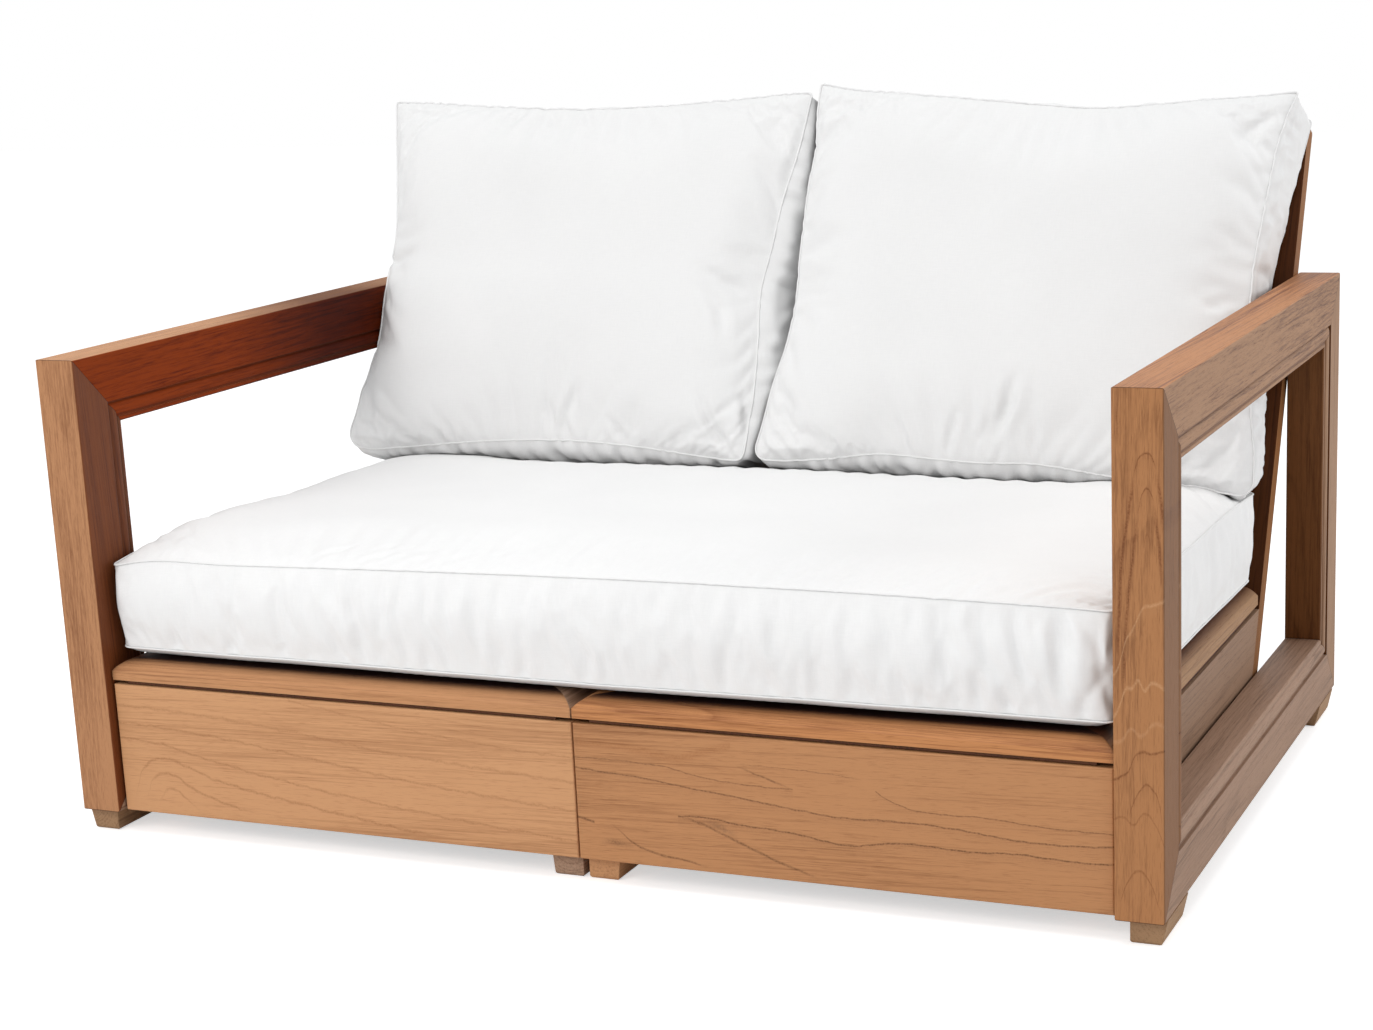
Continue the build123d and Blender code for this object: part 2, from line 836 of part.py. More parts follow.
# CUSHIONS
# A four-sided outline with rounded corners. Each side is drawn in by its own depth.
def draw_drawn_in(low_left, low_right, top_right, top_left, draws, low_radius, top_radius):
    corners = (low_left, low_right, top_right, top_left)
    with BuildLine() as outline:
        for index, start in enumerate(corners):
            end = corners[(index + 1) % len(corners)]
            run = (end[0] - start[0], end[1] - start[1])
            length = (run[0] ** 2 + run[1] ** 2) ** 0.5
            middle = (
                (start[0] + end[0]) / 2 - draws[index] * run[1] / length,
                (start[1] + end[1]) / 2 + draws[index] * run[0] / length,
            )
            if draws[index] == 0:
                Line(start, end)
            else:
                ThreePointArc(start, middle, end)
    make_face(outline.edges())
    fillet(vertices().group_by(Axis.Y)[0], radius=low_radius)
    fillet(vertices().group_by(Axis.Y)[-1], radius=top_radius)


# The seat cushion: flat below, boxing drawn in at its middle, a straight front and a crown above.
seat_half = arm_inner - seat_cushion_side_gap
seat_front = front + seat_cushion_front_inset
seat_floor = deck_top + cushion_gap
seat_back = lean_y(seat_floor, stile_front) - seat_cushion_rear_gap
seat_seam = seat_floor + seat_boxing_height
seat_levels = [
    (seat_floor, seat_bottom_inset),
    (seat_floor + seat_bottom_inset, 0),
    ((seat_floor + seat_seam) / 2, seam_tuck_depth),
    (seat_seam - seat_bottom_inset / 2, 0),
]
seat_levels += [
    (seat_seam + rise * seat_crown_height, inset * seat_crown_inset + seam_tuck_depth)
    for rise, inset in crown_step_shares
]
with BuildPart() as seat_cushion:
    for level, inset in seat_levels:
        with BuildSketch(Plane.XY.offset(level)):
            draw_drawn_in(
                (-seat_half + inset, seat_front + inset),
                (seat_half - inset, seat_front + inset),
                (seat_half - inset, seat_back - inset),
                (-seat_half + inset, seat_back - inset),
                (0, seat_draw_in_depth, seat_draw_in_depth, seat_draw_in_depth),
                seat_corner_radius,
                seat_corner_radius,
            )
    loft(ruled=True)
write_piece(seat_cushion, "seat_cushion")

# The back cushions lean on the slats and stand on the crown of the seat cushion.
back_floor = seat_seam + seat_crown_height + cushion_gap
back_levels = [
    (stile_front + cushion_gap, back_rear_inset),
    (stile_front + cushion_gap + back_rear_inset, 0),
    (stile_front + back_boxing_thickness / 2, seam_tuck_depth),
    (stile_front + back_boxing_thickness - back_rear_inset / 2, 0),
]
back_seam_out = stile_front + back_boxing_thickness
back_cushion_top = back_length - back_cushion_top_gap
back_face_height = back_cushion_top - (back_floor - foot_height - back_seam_out * lean_sin) / lean_cos
back_crown_inset = back_crown_inset_share * back_face_height
back_levels += [
    (back_seam_out + rise * back_crown_height, inset * back_crown_inset + seam_tuck_depth)
    for rise, inset in crown_step_shares
]


# Sections of a back cushion lie parallel to the back. Their lower edges follow the seat.
def make_back_cushion(low_x, high_x, low_top_x, high_top_x, draws):
    with BuildPart() as cushion:
        for out, inset in back_levels:
            floor_line = (back_floor - foot_height - out * lean_sin) / lean_cos
            with BuildSketch(back_plane.offset(out)):
                draw_drawn_in(
                    (low_x + inset, floor_line + inset),
                    (high_x - inset, floor_line + inset),
                    (high_top_x - inset, back_cushion_top - inset),
                    (low_top_x + inset, back_cushion_top - inset),
                    draws,
                    back_lower_corner_radius,
                    back_upper_corner_radius,
                )
        loft(ruled=True)
    return cushion


# The sides narrow to a waist between the arms and spread a little above them.
side_reach = arm_inner - back_cushion_side_gap
left_top_reach = arm_inner + left_cushion_overhang_width
right_top_reach = arm_inner + right_cushion_overhang_width
left_waist_draw = (side_reach + left_top_reach) / 2 - (arm_inner - left_cushion_waist_gap)
right_waist_draw = (side_reach + right_top_reach) / 2 - (arm_inner - right_cushion_waist_gap)
left_back_cushion = make_back_cushion(
    -side_reach,
    -parting_bottom_offset - cushion_parting_gap / 2,
    -left_top_reach,
    -parting_top_offset - cushion_parting_gap / 2,
    (0, parting_draw_in_depth, left_top_draw_in_depth, left_waist_draw),
)
right_back_cushion = make_back_cushion(
    -parting_bottom_offset + cushion_parting_gap / 2,
    side_reach,
    -parting_top_offset + cushion_parting_gap / 2,
    right_top_reach,
    (0, right_waist_draw, right_top_draw_in_depth, parting_draw_in_depth),
)
write_piece(left_back_cushion, "left_back_cushion")
write_piece(right_back_cushion, "right_back_cushion")
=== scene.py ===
import bpy
import math
import random
import time
from functools import partial
import numpy as np
from mathutils import Matrix, Vector, noise
from mathutils.bvhtree import BVHTree


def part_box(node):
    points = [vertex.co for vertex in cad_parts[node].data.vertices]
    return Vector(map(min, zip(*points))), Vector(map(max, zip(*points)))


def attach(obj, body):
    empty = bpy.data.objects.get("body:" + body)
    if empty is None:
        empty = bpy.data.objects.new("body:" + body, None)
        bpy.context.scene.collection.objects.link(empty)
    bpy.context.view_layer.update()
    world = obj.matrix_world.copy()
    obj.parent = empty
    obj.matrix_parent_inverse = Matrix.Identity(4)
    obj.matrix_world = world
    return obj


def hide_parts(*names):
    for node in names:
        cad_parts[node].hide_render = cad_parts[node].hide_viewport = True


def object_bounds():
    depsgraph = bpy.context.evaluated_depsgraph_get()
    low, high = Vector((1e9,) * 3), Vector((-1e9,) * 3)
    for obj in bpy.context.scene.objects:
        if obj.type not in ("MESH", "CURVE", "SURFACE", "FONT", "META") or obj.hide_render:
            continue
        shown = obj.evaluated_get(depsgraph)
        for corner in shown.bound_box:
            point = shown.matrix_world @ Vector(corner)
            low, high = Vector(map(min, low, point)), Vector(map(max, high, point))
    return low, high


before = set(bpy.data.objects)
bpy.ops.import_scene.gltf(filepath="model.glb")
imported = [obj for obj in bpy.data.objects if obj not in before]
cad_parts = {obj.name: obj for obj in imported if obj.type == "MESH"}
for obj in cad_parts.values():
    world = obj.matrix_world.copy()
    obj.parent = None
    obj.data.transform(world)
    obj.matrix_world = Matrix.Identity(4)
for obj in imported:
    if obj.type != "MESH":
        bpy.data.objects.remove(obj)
cadLow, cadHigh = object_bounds()
scene = bpy.context.scene
print("frame loaded")


# Numbers kept as text: rows are parted by commas or lines, and the values of a row by spaces.
def numberRows(text):
    rows = text.replace(",", "\n").strip().splitlines()
    return tuple(tuple(float(value) for value in row.split()) for row in rows)


# The camera stands where the photograph was taken. Pixels are of the 1373 x 1030 frame.
photoCamera = {
    "place": (1.3460, -3.0499, 1.0416),
    "turn": 0.4116,
    "pitch": 0.2440,
    "roll": -0.0421,
    "focalPixels": 2547.5,
    "middlePixel": (753.5, 606.4),
    "framePixels": (1373, 1030),
    "sensorWidth": 36.0,
    "clipEnd": 60,
}


def addCamera(spec):
    turn, pitch, roll = spec["turn"], spec["pitch"], spec["roll"]
    forward = Vector((-math.sin(turn) * math.cos(pitch), math.cos(turn) * math.cos(pitch), -math.sin(pitch)))
    right = Vector((math.cos(turn), math.sin(turn), 0))
    up = right.cross(forward)
    rolledRight = math.cos(roll) * right + math.sin(roll) * up
    rolledUp = math.cos(roll) * up - math.sin(roll) * right
    data = bpy.data.cameras.new("photoCamera")
    data.sensor_fit = "HORIZONTAL"
    data.sensor_width = spec["sensorWidth"]
    wide, high = spec["framePixels"]
    data.lens = spec["focalPixels"] / wide * spec["sensorWidth"]
    data.shift_x = (wide / 2 - spec["middlePixel"][0]) / wide
    data.shift_y = (spec["middlePixel"][1] - high / 2) / wide
    data.clip_end = spec["clipEnd"]
    camera = bpy.data.objects.new("photoCamera", data)
    scene.collection.objects.link(camera)
    turned = Matrix((rolledRight, rolledUp, -forward)).transposed().to_4x4()
    camera.matrix_world = Matrix.Translation(spec["place"]) @ turned
    scene.camera = camera


addCamera(photoCamera)
print("camera set")


# Small helpers for the node trees
def isSocket(value):
    return isinstance(value, bpy.types.NodeSocket)


def feed(tree, socket, value):
    if isSocket(value):
        tree.links.new(value, socket)
    else:
        socket.default_value = value


def addNode(tree, kind, inputs=None, **settings):
    node = tree.nodes.new(kind)
    for name, value in settings.items():
        setattr(node, name, value)
    for name, value in (inputs or {}).items():
        feed(tree, node.inputs[name], value)
    return node


# The helpers below work in the tree of the sockets that they are given.
def treeOf(*values):
    return next(value.id_data for value in values if isSocket(value))


def mathNode(operation, first, second=0.0, clamp=False):
    node = addNode(treeOf(first, second), "ShaderNodeMath", {0: first, 1: second}, operation=operation)
    node.use_clamp = clamp
    return node.outputs[0]


times, plus, minus, divided = (partial(mathNode, name) for name in ("MULTIPLY", "ADD", "SUBTRACT", "DIVIDE"))


def vectorNode(operation, first, second=(0, 0, 0)):
    node = addNode(treeOf(first, second), "ShaderNodeVectorMath", {0: first, 1: second}, operation=operation)
    return node.outputs["Value" if operation in ("LENGTH", "DOT_PRODUCT") else "Vector"]


def sizedVector(vector, size):
    node = addNode(treeOf(vector), "ShaderNodeVectorMath", {0: vector, "Scale": size}, operation="SCALE")
    return node.outputs[0]


def partsOf(vector):
    return addNode(treeOf(vector), "ShaderNodeSeparateXYZ", {0: vector}).outputs


def noiseNode(place, scale, detail, **more):
    given = {"Vector": place, "Scale": scale, "Detail": detail, **more}
    return addNode(treeOf(place), "ShaderNodeTexNoise", given).outputs


def mixColours(factor, first, second, blend="MIX"):
    tree = treeOf(factor, first, second)
    node = addNode(tree, "ShaderNodeMix", data_type="RGBA", blend_type=blend)
    for index, value in ((0, factor), (6, first), (7, second)):
        feed(tree, node.inputs[index], value)
    return node.outputs[2]


def rampNode(factor, stops):
    node = addNode(treeOf(factor), "ShaderNodeValToRGB", {0: factor})
    while len(node.color_ramp.elements) < len(stops):
        node.color_ramp.elements.new(0.5)
    for element, (place, value) in zip(node.color_ramp.elements, stops):
        element.position = place
        element.color = (value, value, value, 1)
    return node.outputs[0]


def newGroup(name, inputs, outputs):
    group = bpy.data.node_groups.new(name, "ShaderNodeTree")
    for label, kind, value in inputs:
        socket = group.interface.new_socket(label, in_out="INPUT", socket_type="NodeSocket" + kind)
        if value is not None:
            socket.default_value = value
    for label, kind in outputs:
        group.interface.new_socket(label, in_out="OUTPUT", socket_type="NodeSocket" + kind)
    start = group.nodes.new("NodeGroupInput")
    end = group.nodes.new("NodeGroupOutput")
    return group, start.outputs, end.inputs


def newMaterial(name):
    material = bpy.data.materials.new(name)
    material.use_nodes = True
    tree = material.node_tree
    return material, tree, tree.nodes["Principled BSDF"]


def objectPlace(tree):
    return tree.nodes.new("ShaderNodeTexCoord").outputs["Object"]


def srgb(red, green, blue):
    return tuple(
        (v / 255 / 12.92 if v <= 10 else ((v / 255 + 0.055) / 1.055) ** 2.4) for v in (red, green, blue)
    ) + (1,)


# How teak is drawn. Each noise is stretched along X, which is the way of the grain.
teakLook = {
    "slowBend": (2.2, 9, 9),
    "quickBend": (9, 26, 26),
    "quickBendShare": 0.16,
    "unevenScale": 55.0,
    "unevenRings": 3.0,
    "ringShape": ((0, 0.55), (0.12, 0.12), (0.55, 0.28), (0.86, 0.78), (0.96, 1.0), (1.0, 0.55)),
    "ringChance": (0.7, 0.3),
    "broad": (1.3, 14, 14),
    "broadTone": 1.5,
    "streak": (3.2, 330, 330),
    "streakTone": 2.6,
    "hair": (11, 1500, 1500),
    "hairTone": 1.9,
    "pores": (46, 1700, 1700),
    "poreTone": 0.26,
    "roughness": 0.56,
    "roughTone": -0.08,
    "roughPores": 0.15,
    "relief": {"streak": 0.5, "hair": 0.5, "pores": 0.6, "rings": 0.25},
    "edgeShare": 0.28,
    "edgeTone": (1.22, 0.02),
    "bump": {"Strength": 0.22, "Distance": 0.0006},
}


# Teak grain: growth rings round a pith line that runs along X of the given place.
def makeTeakGrain():
    group, given, out = newGroup(
        "teakGrain",
        (
            ("Place", "Vector", None),
            ("Seed", "Float", 0.0),
            ("Ring Width", "Float", 0.005),
            ("Wander", "Float", 0.012),
            ("Light Wood", "Color", (0.6, 0.33, 0.17, 1)),
            ("Dark Wood", "Color", (0.36, 0.17, 0.08, 1)),
            ("Line Strength", "Float", 0.6),
            ("Streak Strength", "Float", 0.5),
        ),
        (("Color", "Color"), ("Roughness", "Float"), ("Height", "Float")),
    )
    links = group.links
    seeds = addNode(group, "ShaderNodeCombineXYZ", dict.fromkeys(range(3), given["Seed"])).outputs[0]
    shifted = vectorNode("ADD", given["Place"], seeds)

    def stretchedNoise(stretch, detail=2.0, rough=0.5):
        return noiseNode(vectorNode("MULTIPLY", shifted, teakLook[stretch]), 1.0, detail, Roughness=rough)

    def bend(stretch, amount):
        centred = vectorNode("SUBTRACT", stretchedNoise(stretch)["Color"], (0.5, 0.5, 0.5))
        return sizedVector(centred, amount)

    def toned(value, strength):
        return times(minus(value, 0.5), strength)

    slow = bend("slowBend", given["Wander"])
    quick = bend("quickBend", times(given["Wander"], teakLook["quickBendShare"]))
    bent = vectorNode("ADD", vectorNode("ADD", given["Place"], slow), quick)
    radius = vectorNode("LENGTH", vectorNode("MULTIPLY", bent, (0, 1, 1)))
    uneven = addNode(
        group, "ShaderNodeTexNoise",
        {"W": plus(radius, given["Seed"]), "Scale": teakLook["unevenScale"], "Detail": 1.0},
        noise_dimensions="1D").outputs[0]
    phase = plus(divided(radius, given["Ring Width"]), times(uneven, teakLook["unevenRings"]))
    ringShare = mathNode("FRACT", phase)
    ringNumber = plus(mathNode("FLOOR", phase), given["Seed"])
    chance = addNode(group, "ShaderNodeTexWhiteNoise", {"W": ringNumber}, noise_dimensions="1D").outputs[0]
    spread, least = teakLook["ringChance"]
    line = times(rampNode(ringShare, teakLook["ringShape"]), plus(times(chance, spread), least))
    line = times(line, given["Line Strength"])

    broad = stretchedNoise("broad")[0]
    streak = stretchedNoise("streak", 4.0, 0.6)[0]
    hair = stretchedNoise("hair", 2.0, 0.6)[0]
    tone = plus(line, times(toned(streak, given["Streak Strength"]), teakLook["streakTone"]))
    tone = plus(tone, times(toned(hair, given["Streak Strength"]), teakLook["hairTone"]))
    tone = plus(tone, toned(broad, teakLook["broadTone"]), clamp=True)
    colour = mixColours(tone, given["Light Wood"], given["Dark Wood"])

    # pores: short dark dashes along the grain
    dash = rampNode(stretchedNoise("pores", 1.0)[0], ((0, 1), (0.3, 1), (0.39, 0), (1, 0)))
    colour = mixColours(times(dash, teakLook["poreTone"]), colour, given["Dark Wood"], "MULTIPLY")
    links.new(colour, out["Color"])
    rough = plus(times(tone, teakLook["roughTone"]), teakLook["roughness"])
    links.new(plus(rough, times(dash, teakLook["roughPores"])), out["Roughness"])
    relief = teakLook["relief"]
    height = plus(times(streak, relief["streak"]), times(hair, relief["hair"]))
    height = minus(height, times(dash, relief["pores"]))
    links.new(minus(height, times(line, relief["rings"])), out["Height"])
    return group


# Softened edges: how far the surface is from an edge, and the normal that rounds it.
def makeEasedEdge():
    group, given, out = newGroup(
        "easedEdge", (("Width", "Float", 0.0013),), (("Mask", "Float"), ("Normal", "Vector")))
    bevel = addNode(group, "ShaderNodeBevel", {"Radius": given["Width"]}, samples=6)
    flatNormal = group.nodes.new("ShaderNodeNewGeometry").outputs["Normal"]
    along = vectorNode("DOT_PRODUCT", bevel.outputs[0], flatNormal)
    group.links.new(times(minus(1.0, along), 3.0, clamp=True), out["Mask"])
    group.links.new(bevel.outputs[0], out["Normal"])
    return group


armFrame = {
    "front": cadLow.y,
    "rear": cadLow.y + 0.970,
    "bottom": 0.030,
    "top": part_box("right_arm_top_rail")[1].z,
    "lineWidth": 0.0006,
    "lineCore": 1.35,
    "lineStrength": 0.85,
    "lineColour": (48, 26, 14),
    # Where the quirks run, and the width, core and colour of the shade painted in them
    "quirks": (0.06325, 0.08275),
    "quirkWidth": 0.0022,
    "quirkCore": 1.3,
    "quirkColour": (70, 38, 20),
}


# The mitre joints of an arm: dark hairlines where a piece is as far from the end as from the top.
# The quirks beside the bead run at their own distances from the outer edge, and are painted dark
# as painted shade in the grooves.
def makeMitreLinesAndQuirkShade():
    group, given, out = newGroup(
        "armLines", (("Place", "Vector", None),), (("Mitre", "Float"), ("Quirk", "Float")))
    parts = partsOf(given["Place"])
    fromEnd = mathNode("MINIMUM", minus(parts["Y"], armFrame["front"]), minus(armFrame["rear"], parts["Y"]))
    fromTop = mathNode("MINIMUM", minus(parts["Z"], armFrame["bottom"]), minus(armFrame["top"], parts["Z"]))
    near = divided(mathNode("ABSOLUTE", minus(fromEnd, fromTop)), armFrame["lineWidth"])
    group.links.new(minus(armFrame["lineCore"], near, clamp=True), out["Mitre"])
    inward = mathNode("MINIMUM", fromEnd, fromTop)
    offQuirk = [mathNode("ABSOLUTE", minus(inward, quirk)) for quirk in armFrame["quirks"]]
    near = divided(mathNode("MINIMUM", *offQuirk), armFrame["quirkWidth"])
    group.links.new(minus(armFrame["quirkCore"], near, clamp=True), out["Quirk"])
    return group


# A grain line drawn on one face: its height is a curve over the run of the face.
# Its points are (run, height) shares of the board. A shade fades away below the line, over the
# share "fade". An open line ends at once, and the others fade out at both ends.
def grainLine(points, width, strength, **more):
    plain = {"shade": 0.0, "fade": 0.09, "open": False}
    return {**plain, **more, "points": numberRows(points), "width": width, "strength": strength}


def drawnLine(tree, run, height, line):
    curve = tree.nodes.new("ShaderNodeFloatCurve")
    points = curve.mapping.curves[0].points
    shares = line["points"]
    while len(points) < len(shares):
        points.new(0.5, 0.5)
    for point, share in zip(points, shares):
        point.location = share
    curve.mapping.update()
    tree.links.new(run, curve.inputs["Value"])
    away = minus(curve.outputs[0], height)
    mask = minus(1.2, divided(mathNode("ABSOLUTE", away), line["width"]), clamp=True)
    below = times(minus(1.0, divided(away, line["fade"]), clamp=True), mathNode("GREATER_THAN", away, 0.0))
    mask = mathNode("MAXIMUM", mask, times(below, line["shade"]))
    start, end = shares[0][0], shares[-1][0]
    if line["open"]:
        ends = times(mathNode("GREATER_THAN", run, start), mathNode("LESS_THAN", run, end))
    else:
        ends = times(times(minus(run, start), 25.0, clamp=True), times(minus(end, run), 25.0, clamp=True))
    return times(times(mask, ends), line["strength"])


# All the drawn lines of a board, wavering a little and broken up by the pores
def drawnGrain(tree, place, colour, node, drawn):
    low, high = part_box(node)
    parts = partsOf(place)

    def shareAlong(axis):
        return divided(minus(parts[axis], getattr(low, axis.lower())), getattr(high - low, axis.lower()))

    run, height = [shareAlong(axis) for axis in drawn["axes"]]
    waver = noiseNode(place, 60.0, 3.0)[0]
    height = plus(height, times(minus(waver, 0.5), drawn["waver"]))
    grit = rampNode(noiseNode(place, 420.0, 2.0)[0], ((0, 0.35), (0.42, 0.55), (0.6, 1), (1, 1)))
    for line in drawn["lines"]:
        mask = times(drawnLine(tree, run, height, line), grit)
        colour = mixColours(mask, colour, srgb(*line.get("colour", drawn["colour"])))
    return colour


teakGrain = makeTeakGrain()
easedEdge = makeEasedEdge()
armLines = makeMitreLinesAndQuirkShade()

# What a board has unless it says otherwise
plainBoard = {
    "rings": 0.005,
    "wander": 0.02,
    "lines": 0.6,
    "streaks": 0.8,
    "gloss": 0.24,
    # how dark the painted shade in the quirks is
    "quirk": 0.5,
    "mitred": False,
    "drawn": (),
    "faces": (),
}


# Mask for painted shade: where a surface is enclosed, as in a fold or below a cushion
def creviceShadeMask(tree, distance, strength):
    airy = addNode(tree, "ShaderNodeAmbientOcclusion", {"Distance": distance}, samples=5).outputs["AO"]
    return times(minus(0.72, airy), strength, clamp=True)


# Where the wood is painted darker or greyer, as painted shade: a face that looks one way, the places
# that are enclosed, or all that is near one plane.
def paintedShadeMask(tree, place, face):
    if "toward" in face:
        looks = tree.nodes.new("ShaderNodeNewGeometry").outputs["Normal"]
        facing = vectorNode("DOT_PRODUCT", looks, face["toward"])
        return times(minus(facing, face.get("from", 0.5)), 4.0, clamp=True)
    if "crevices" in face:
        return creviceShadeMask(tree, face["distance"], face["crevices"])
    away = mathNode("ABSOLUTE", minus(partsOf(place)[face["axis"]], face["at"]))
    return times(minus(1.0, divided(away, face["depth"])), face["softness"], clamp=True)


# One teak board's finish. The pith is given from the middle of its node, in metres.
def teakMaterial(name, node, board):
    board = {**plainBoard, **board}
    low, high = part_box(node)
    middle = (low + high) / 2
    material, tree, shader = newMaterial(name)
    place = objectPlace(tree)
    axis = Vector(board["axis"]).normalized()
    turn = Vector((1, 0, 0)).rotation_difference(axis).to_euler()
    mapping = addNode(tree, "ShaderNodeMapping", {
        "Vector": place,
        "Location": middle + Vector(board["pith"]),
        "Rotation": turn,
    }, vector_type="TEXTURE")
    grain = addNode(tree, "ShaderNodeGroup", node_tree=teakGrain)
    for label, value in (
        ("Place", mapping.outputs[0]),
        ("Seed", board["seed"]),
        ("Ring Width", board["rings"]),
        ("Wander", board["wander"]),
        ("Light Wood", srgb(*board["light"])),
        ("Dark Wood", srgb(*board["dark"])),
        ("Line Strength", board["lines"]),
        ("Streak Strength", board["streaks"]),
    ):
        feed(tree, grain.inputs[label], value)
    edge = addNode(tree, "ShaderNodeGroup", node_tree=easedEdge)
    # A painted highlight: the eased edges are painted paler.
    gain, lift = teakLook["edgeTone"]
    paintedEdgeHighlight = tuple(min(1, c * gain + lift) for c in srgb(*board["light"])[:3]) + (1,)
    colour = mixColours(times(edge.outputs["Mask"], teakLook["edgeShare"]), grain.outputs["Color"], paintedEdgeHighlight)
    for drawn in board["drawn"]:
        colour = drawnGrain(tree, place, colour, node, drawn)
    # Painted shade: some faces and places are painted darker, greyer or cooler.
    for face in board["faces"]:
        colour = mixColours(paintedShadeMask(tree, place, face), colour, srgb(*face["colour"]), "MULTIPLY")
    if board["mitred"]:
        lines = addNode(tree, "ShaderNodeGroup", {"Place": place}, node_tree=armLines).outputs
        # Painted shade in the quirks; the mitres get dark joint lines.
        quirk, joint = times(lines["Quirk"], board["quirk"]), times(lines["Mitre"], armFrame["lineStrength"])
        colour = mixColours(quirk, colour, srgb(*armFrame["quirkColour"]))
        colour = mixColours(joint, colour, srgb(*armFrame["lineColour"]))
    tree.links.new(colour, shader.inputs["Base Color"])
    tree.links.new(grain.outputs["Roughness"], shader.inputs["Roughness"])
    shader.inputs["Specular IOR Level"].default_value = board["gloss"]
    bump = addNode(tree, "ShaderNodeBump", {
        "Height": grain.outputs["Height"],
        "Normal": edge.outputs["Normal"],
        **teakLook["bump"],
    })
    tree.links.new(bump.outputs[0], shader.inputs["Normal"])
    return material


def dress(node, material):
    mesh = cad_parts[node].data
    mesh.materials.clear()
    mesh.materials.append(material)


# Finishes of the boards, and the light and shade painted on some of their faces. Tones are sRGB, as
# they look in plain light.
alongX, alongY, alongZ = (1, 0, 0), (0, 1, 0), (0, 0, 1)
leanAngle = math.radians(26)
alongBack = (0, math.sin(leanAngle), math.cos(leanAngle))
outOfBack = (0, -math.cos(leanAngle), math.sin(leanAngle))
honey = {"light": (206, 154, 110), "dark": (156, 106, 68)}
amber = {"light": (196, 138, 90), "dark": (132, 80, 44)}
russet = {"light": (150, 82, 44), "dark": (84, 38, 18)}
greyTan = {"light": (176, 144, 120), "dark": (122, 92, 70)}
palePost = (216, 170, 126)

# Dark lines on the front of the right box, from one end to the other
rightBoxLines = {
    "axes": ("X", "Z"),
    "waver": 0.022,
    "colour": (84, 52, 34),
    "lines": (
        grainLine("0 .675, .12 .644, .23 .6, .34 .556, .46 .505, .53 .488, .6 .502, .71 .492, .86 .444, "
                  "1 .468", 0.008, 0.72, shade=0.16, open=True),
        grainLine("0 .753, .115 .75, .184 .738, .233 .697, .3 .668, .426 .658",
                  0.006, 0.6, shade=0.14, open=True),
        grainLine(".317 .8, .345 .759, .383 .713, .426 .656", 0.009, 0.6),
        grainLine(".314 .806, .37 .803, .464 .798, .56 .77", 0.005, 0.42, shade=0.12),
        grainLine(".58 .7, .6 .655, .619 .622, .656 .588, .706 .582, .765 .586, .868 .562, 1 .553",
                  0.006, 0.6, shade=0.12, open=True),
        grainLine(".202 .388, .258 .395, .32 .372, .432 .342, .482 .314, .532 .298, .569 .32, .619 .348, "
                  ".744 .341, .831 .356, .949 .34, 1 .352", 0.008, 0.78, shade=0.2, open=True),
        grainLine(".202 .386, .246 .352, .277 .306, .308 .258, .345 .203, .395 .128, .47 .04", 0.012, 0.62),
        grainLine(".25 .372, .285 .335, .318 .285", 0.032, 0.55, colour=(96, 72, 56)),
        grainLine(".066 .286, .09 .222, .109 .16, .159 .096, .202 .076, .262 .036", 0.01, 0.66),
        grainLine(".04 .14, .075 .15, .115 .12", 0.028, 0.55, colour=(90, 62, 46)),
        grainLine("0 .31, .016 .3, .034 .288", 0.012, 0.7, open=True),
        grainLine("0 .86, .12 .85, .2 .81, .26 .875, .31 .93", 0.04, 0.3, colour=(150, 92, 50), open=True),
    ),
}

# The legs of the arches near the top of the right post
rightPostLegs = {
    "axes": ("Z", "X"),
    "waver": 0.05,
    "colour": (112, 62, 32),
    "lines": (
        grainLine(".5 .1, .6 .14, .69 .2, .745 .28, .78 .34, .845 .43", 0.04, 0.8, shade=0.24, fade=0.22),
        grainLine(".735 .99, .78 .96, .82 .91, .855 .85", 0.04, 0.8),
        grainLine(".44 .2, .56 .26, .64 .34, .7 .41, .77 .49", 0.036, 0.75, shade=0.22, fade=0.18),
        grainLine(".64 .97, .7 .92, .76 .86, .795 .81", 0.036, 0.7),
        grainLine(".88 .16, .93 .12, .99 .13", 0.04, 0.4),
    ),
}

# The tops of those arches, the pale waves further down and the arches at the foot
rightPostWaves = {
    "axes": ("X", "Z"),
    "waver": 0.012,
    "colour": (112, 62, 32),
    "lines": (
        grainLine(".42 .842, .5 .866, .6 .88, .7 .882, .78 .874, .86 .852",
                  0.0032, 0.85, shade=0.2, fade=0.03),
        grainLine(".48 .765, .54 .792, .61 .812, .68 .819, .75 .812, .82 .792",
                  0.003, 0.8, shade=0.2, fade=0.03),
        grainLine(".58 .69, .63 .724, .68 .738, .74 .722, .79 .68", 0.003, 0.45),
        grainLine("0 .47, .13 .49, .25 .535, .4 .56, .6 .6, .75 .606, 1 .616",
                  0.005, 0.4, colour=palePost, open=True, shade=0.16, fade=0.03),
        grainLine("0 .392, .12 .41, .25 .447, .38 .452, .5 .466, .62 .449, .75 .462, 1 .452",
                  0.0052, 0.4, colour=palePost, open=True),
        grainLine("0 .345, .2 .352, .35 .372, .55 .362, .8 .385, 1 .38",
                  0.005, 0.24, colour=palePost, open=True),
        grainLine("0 .272, .15 .28, .3 .292, .42 .322, .55 .332, .75 .328, 1 .336",
                  0.0034, 0.75, open=True, shade=0.14, fade=0.03),
        grainLine(".3 .205, .42 .238, .52 .256, .64 .268, .76 .26, .88 .24, .97 .19",
                  0.0034, 0.65, shade=0.12, fade=0.03),
        grainLine("0 .196, .2 .204, .4 .19, .6 .212, .8 .198, 1 .15", 0.003, 0.45, open=True),
        grainLine(".12 .035, .28 .078, .48 .098, .68 .086, .9 .03", 0.0034, 0.5),
    ),
}

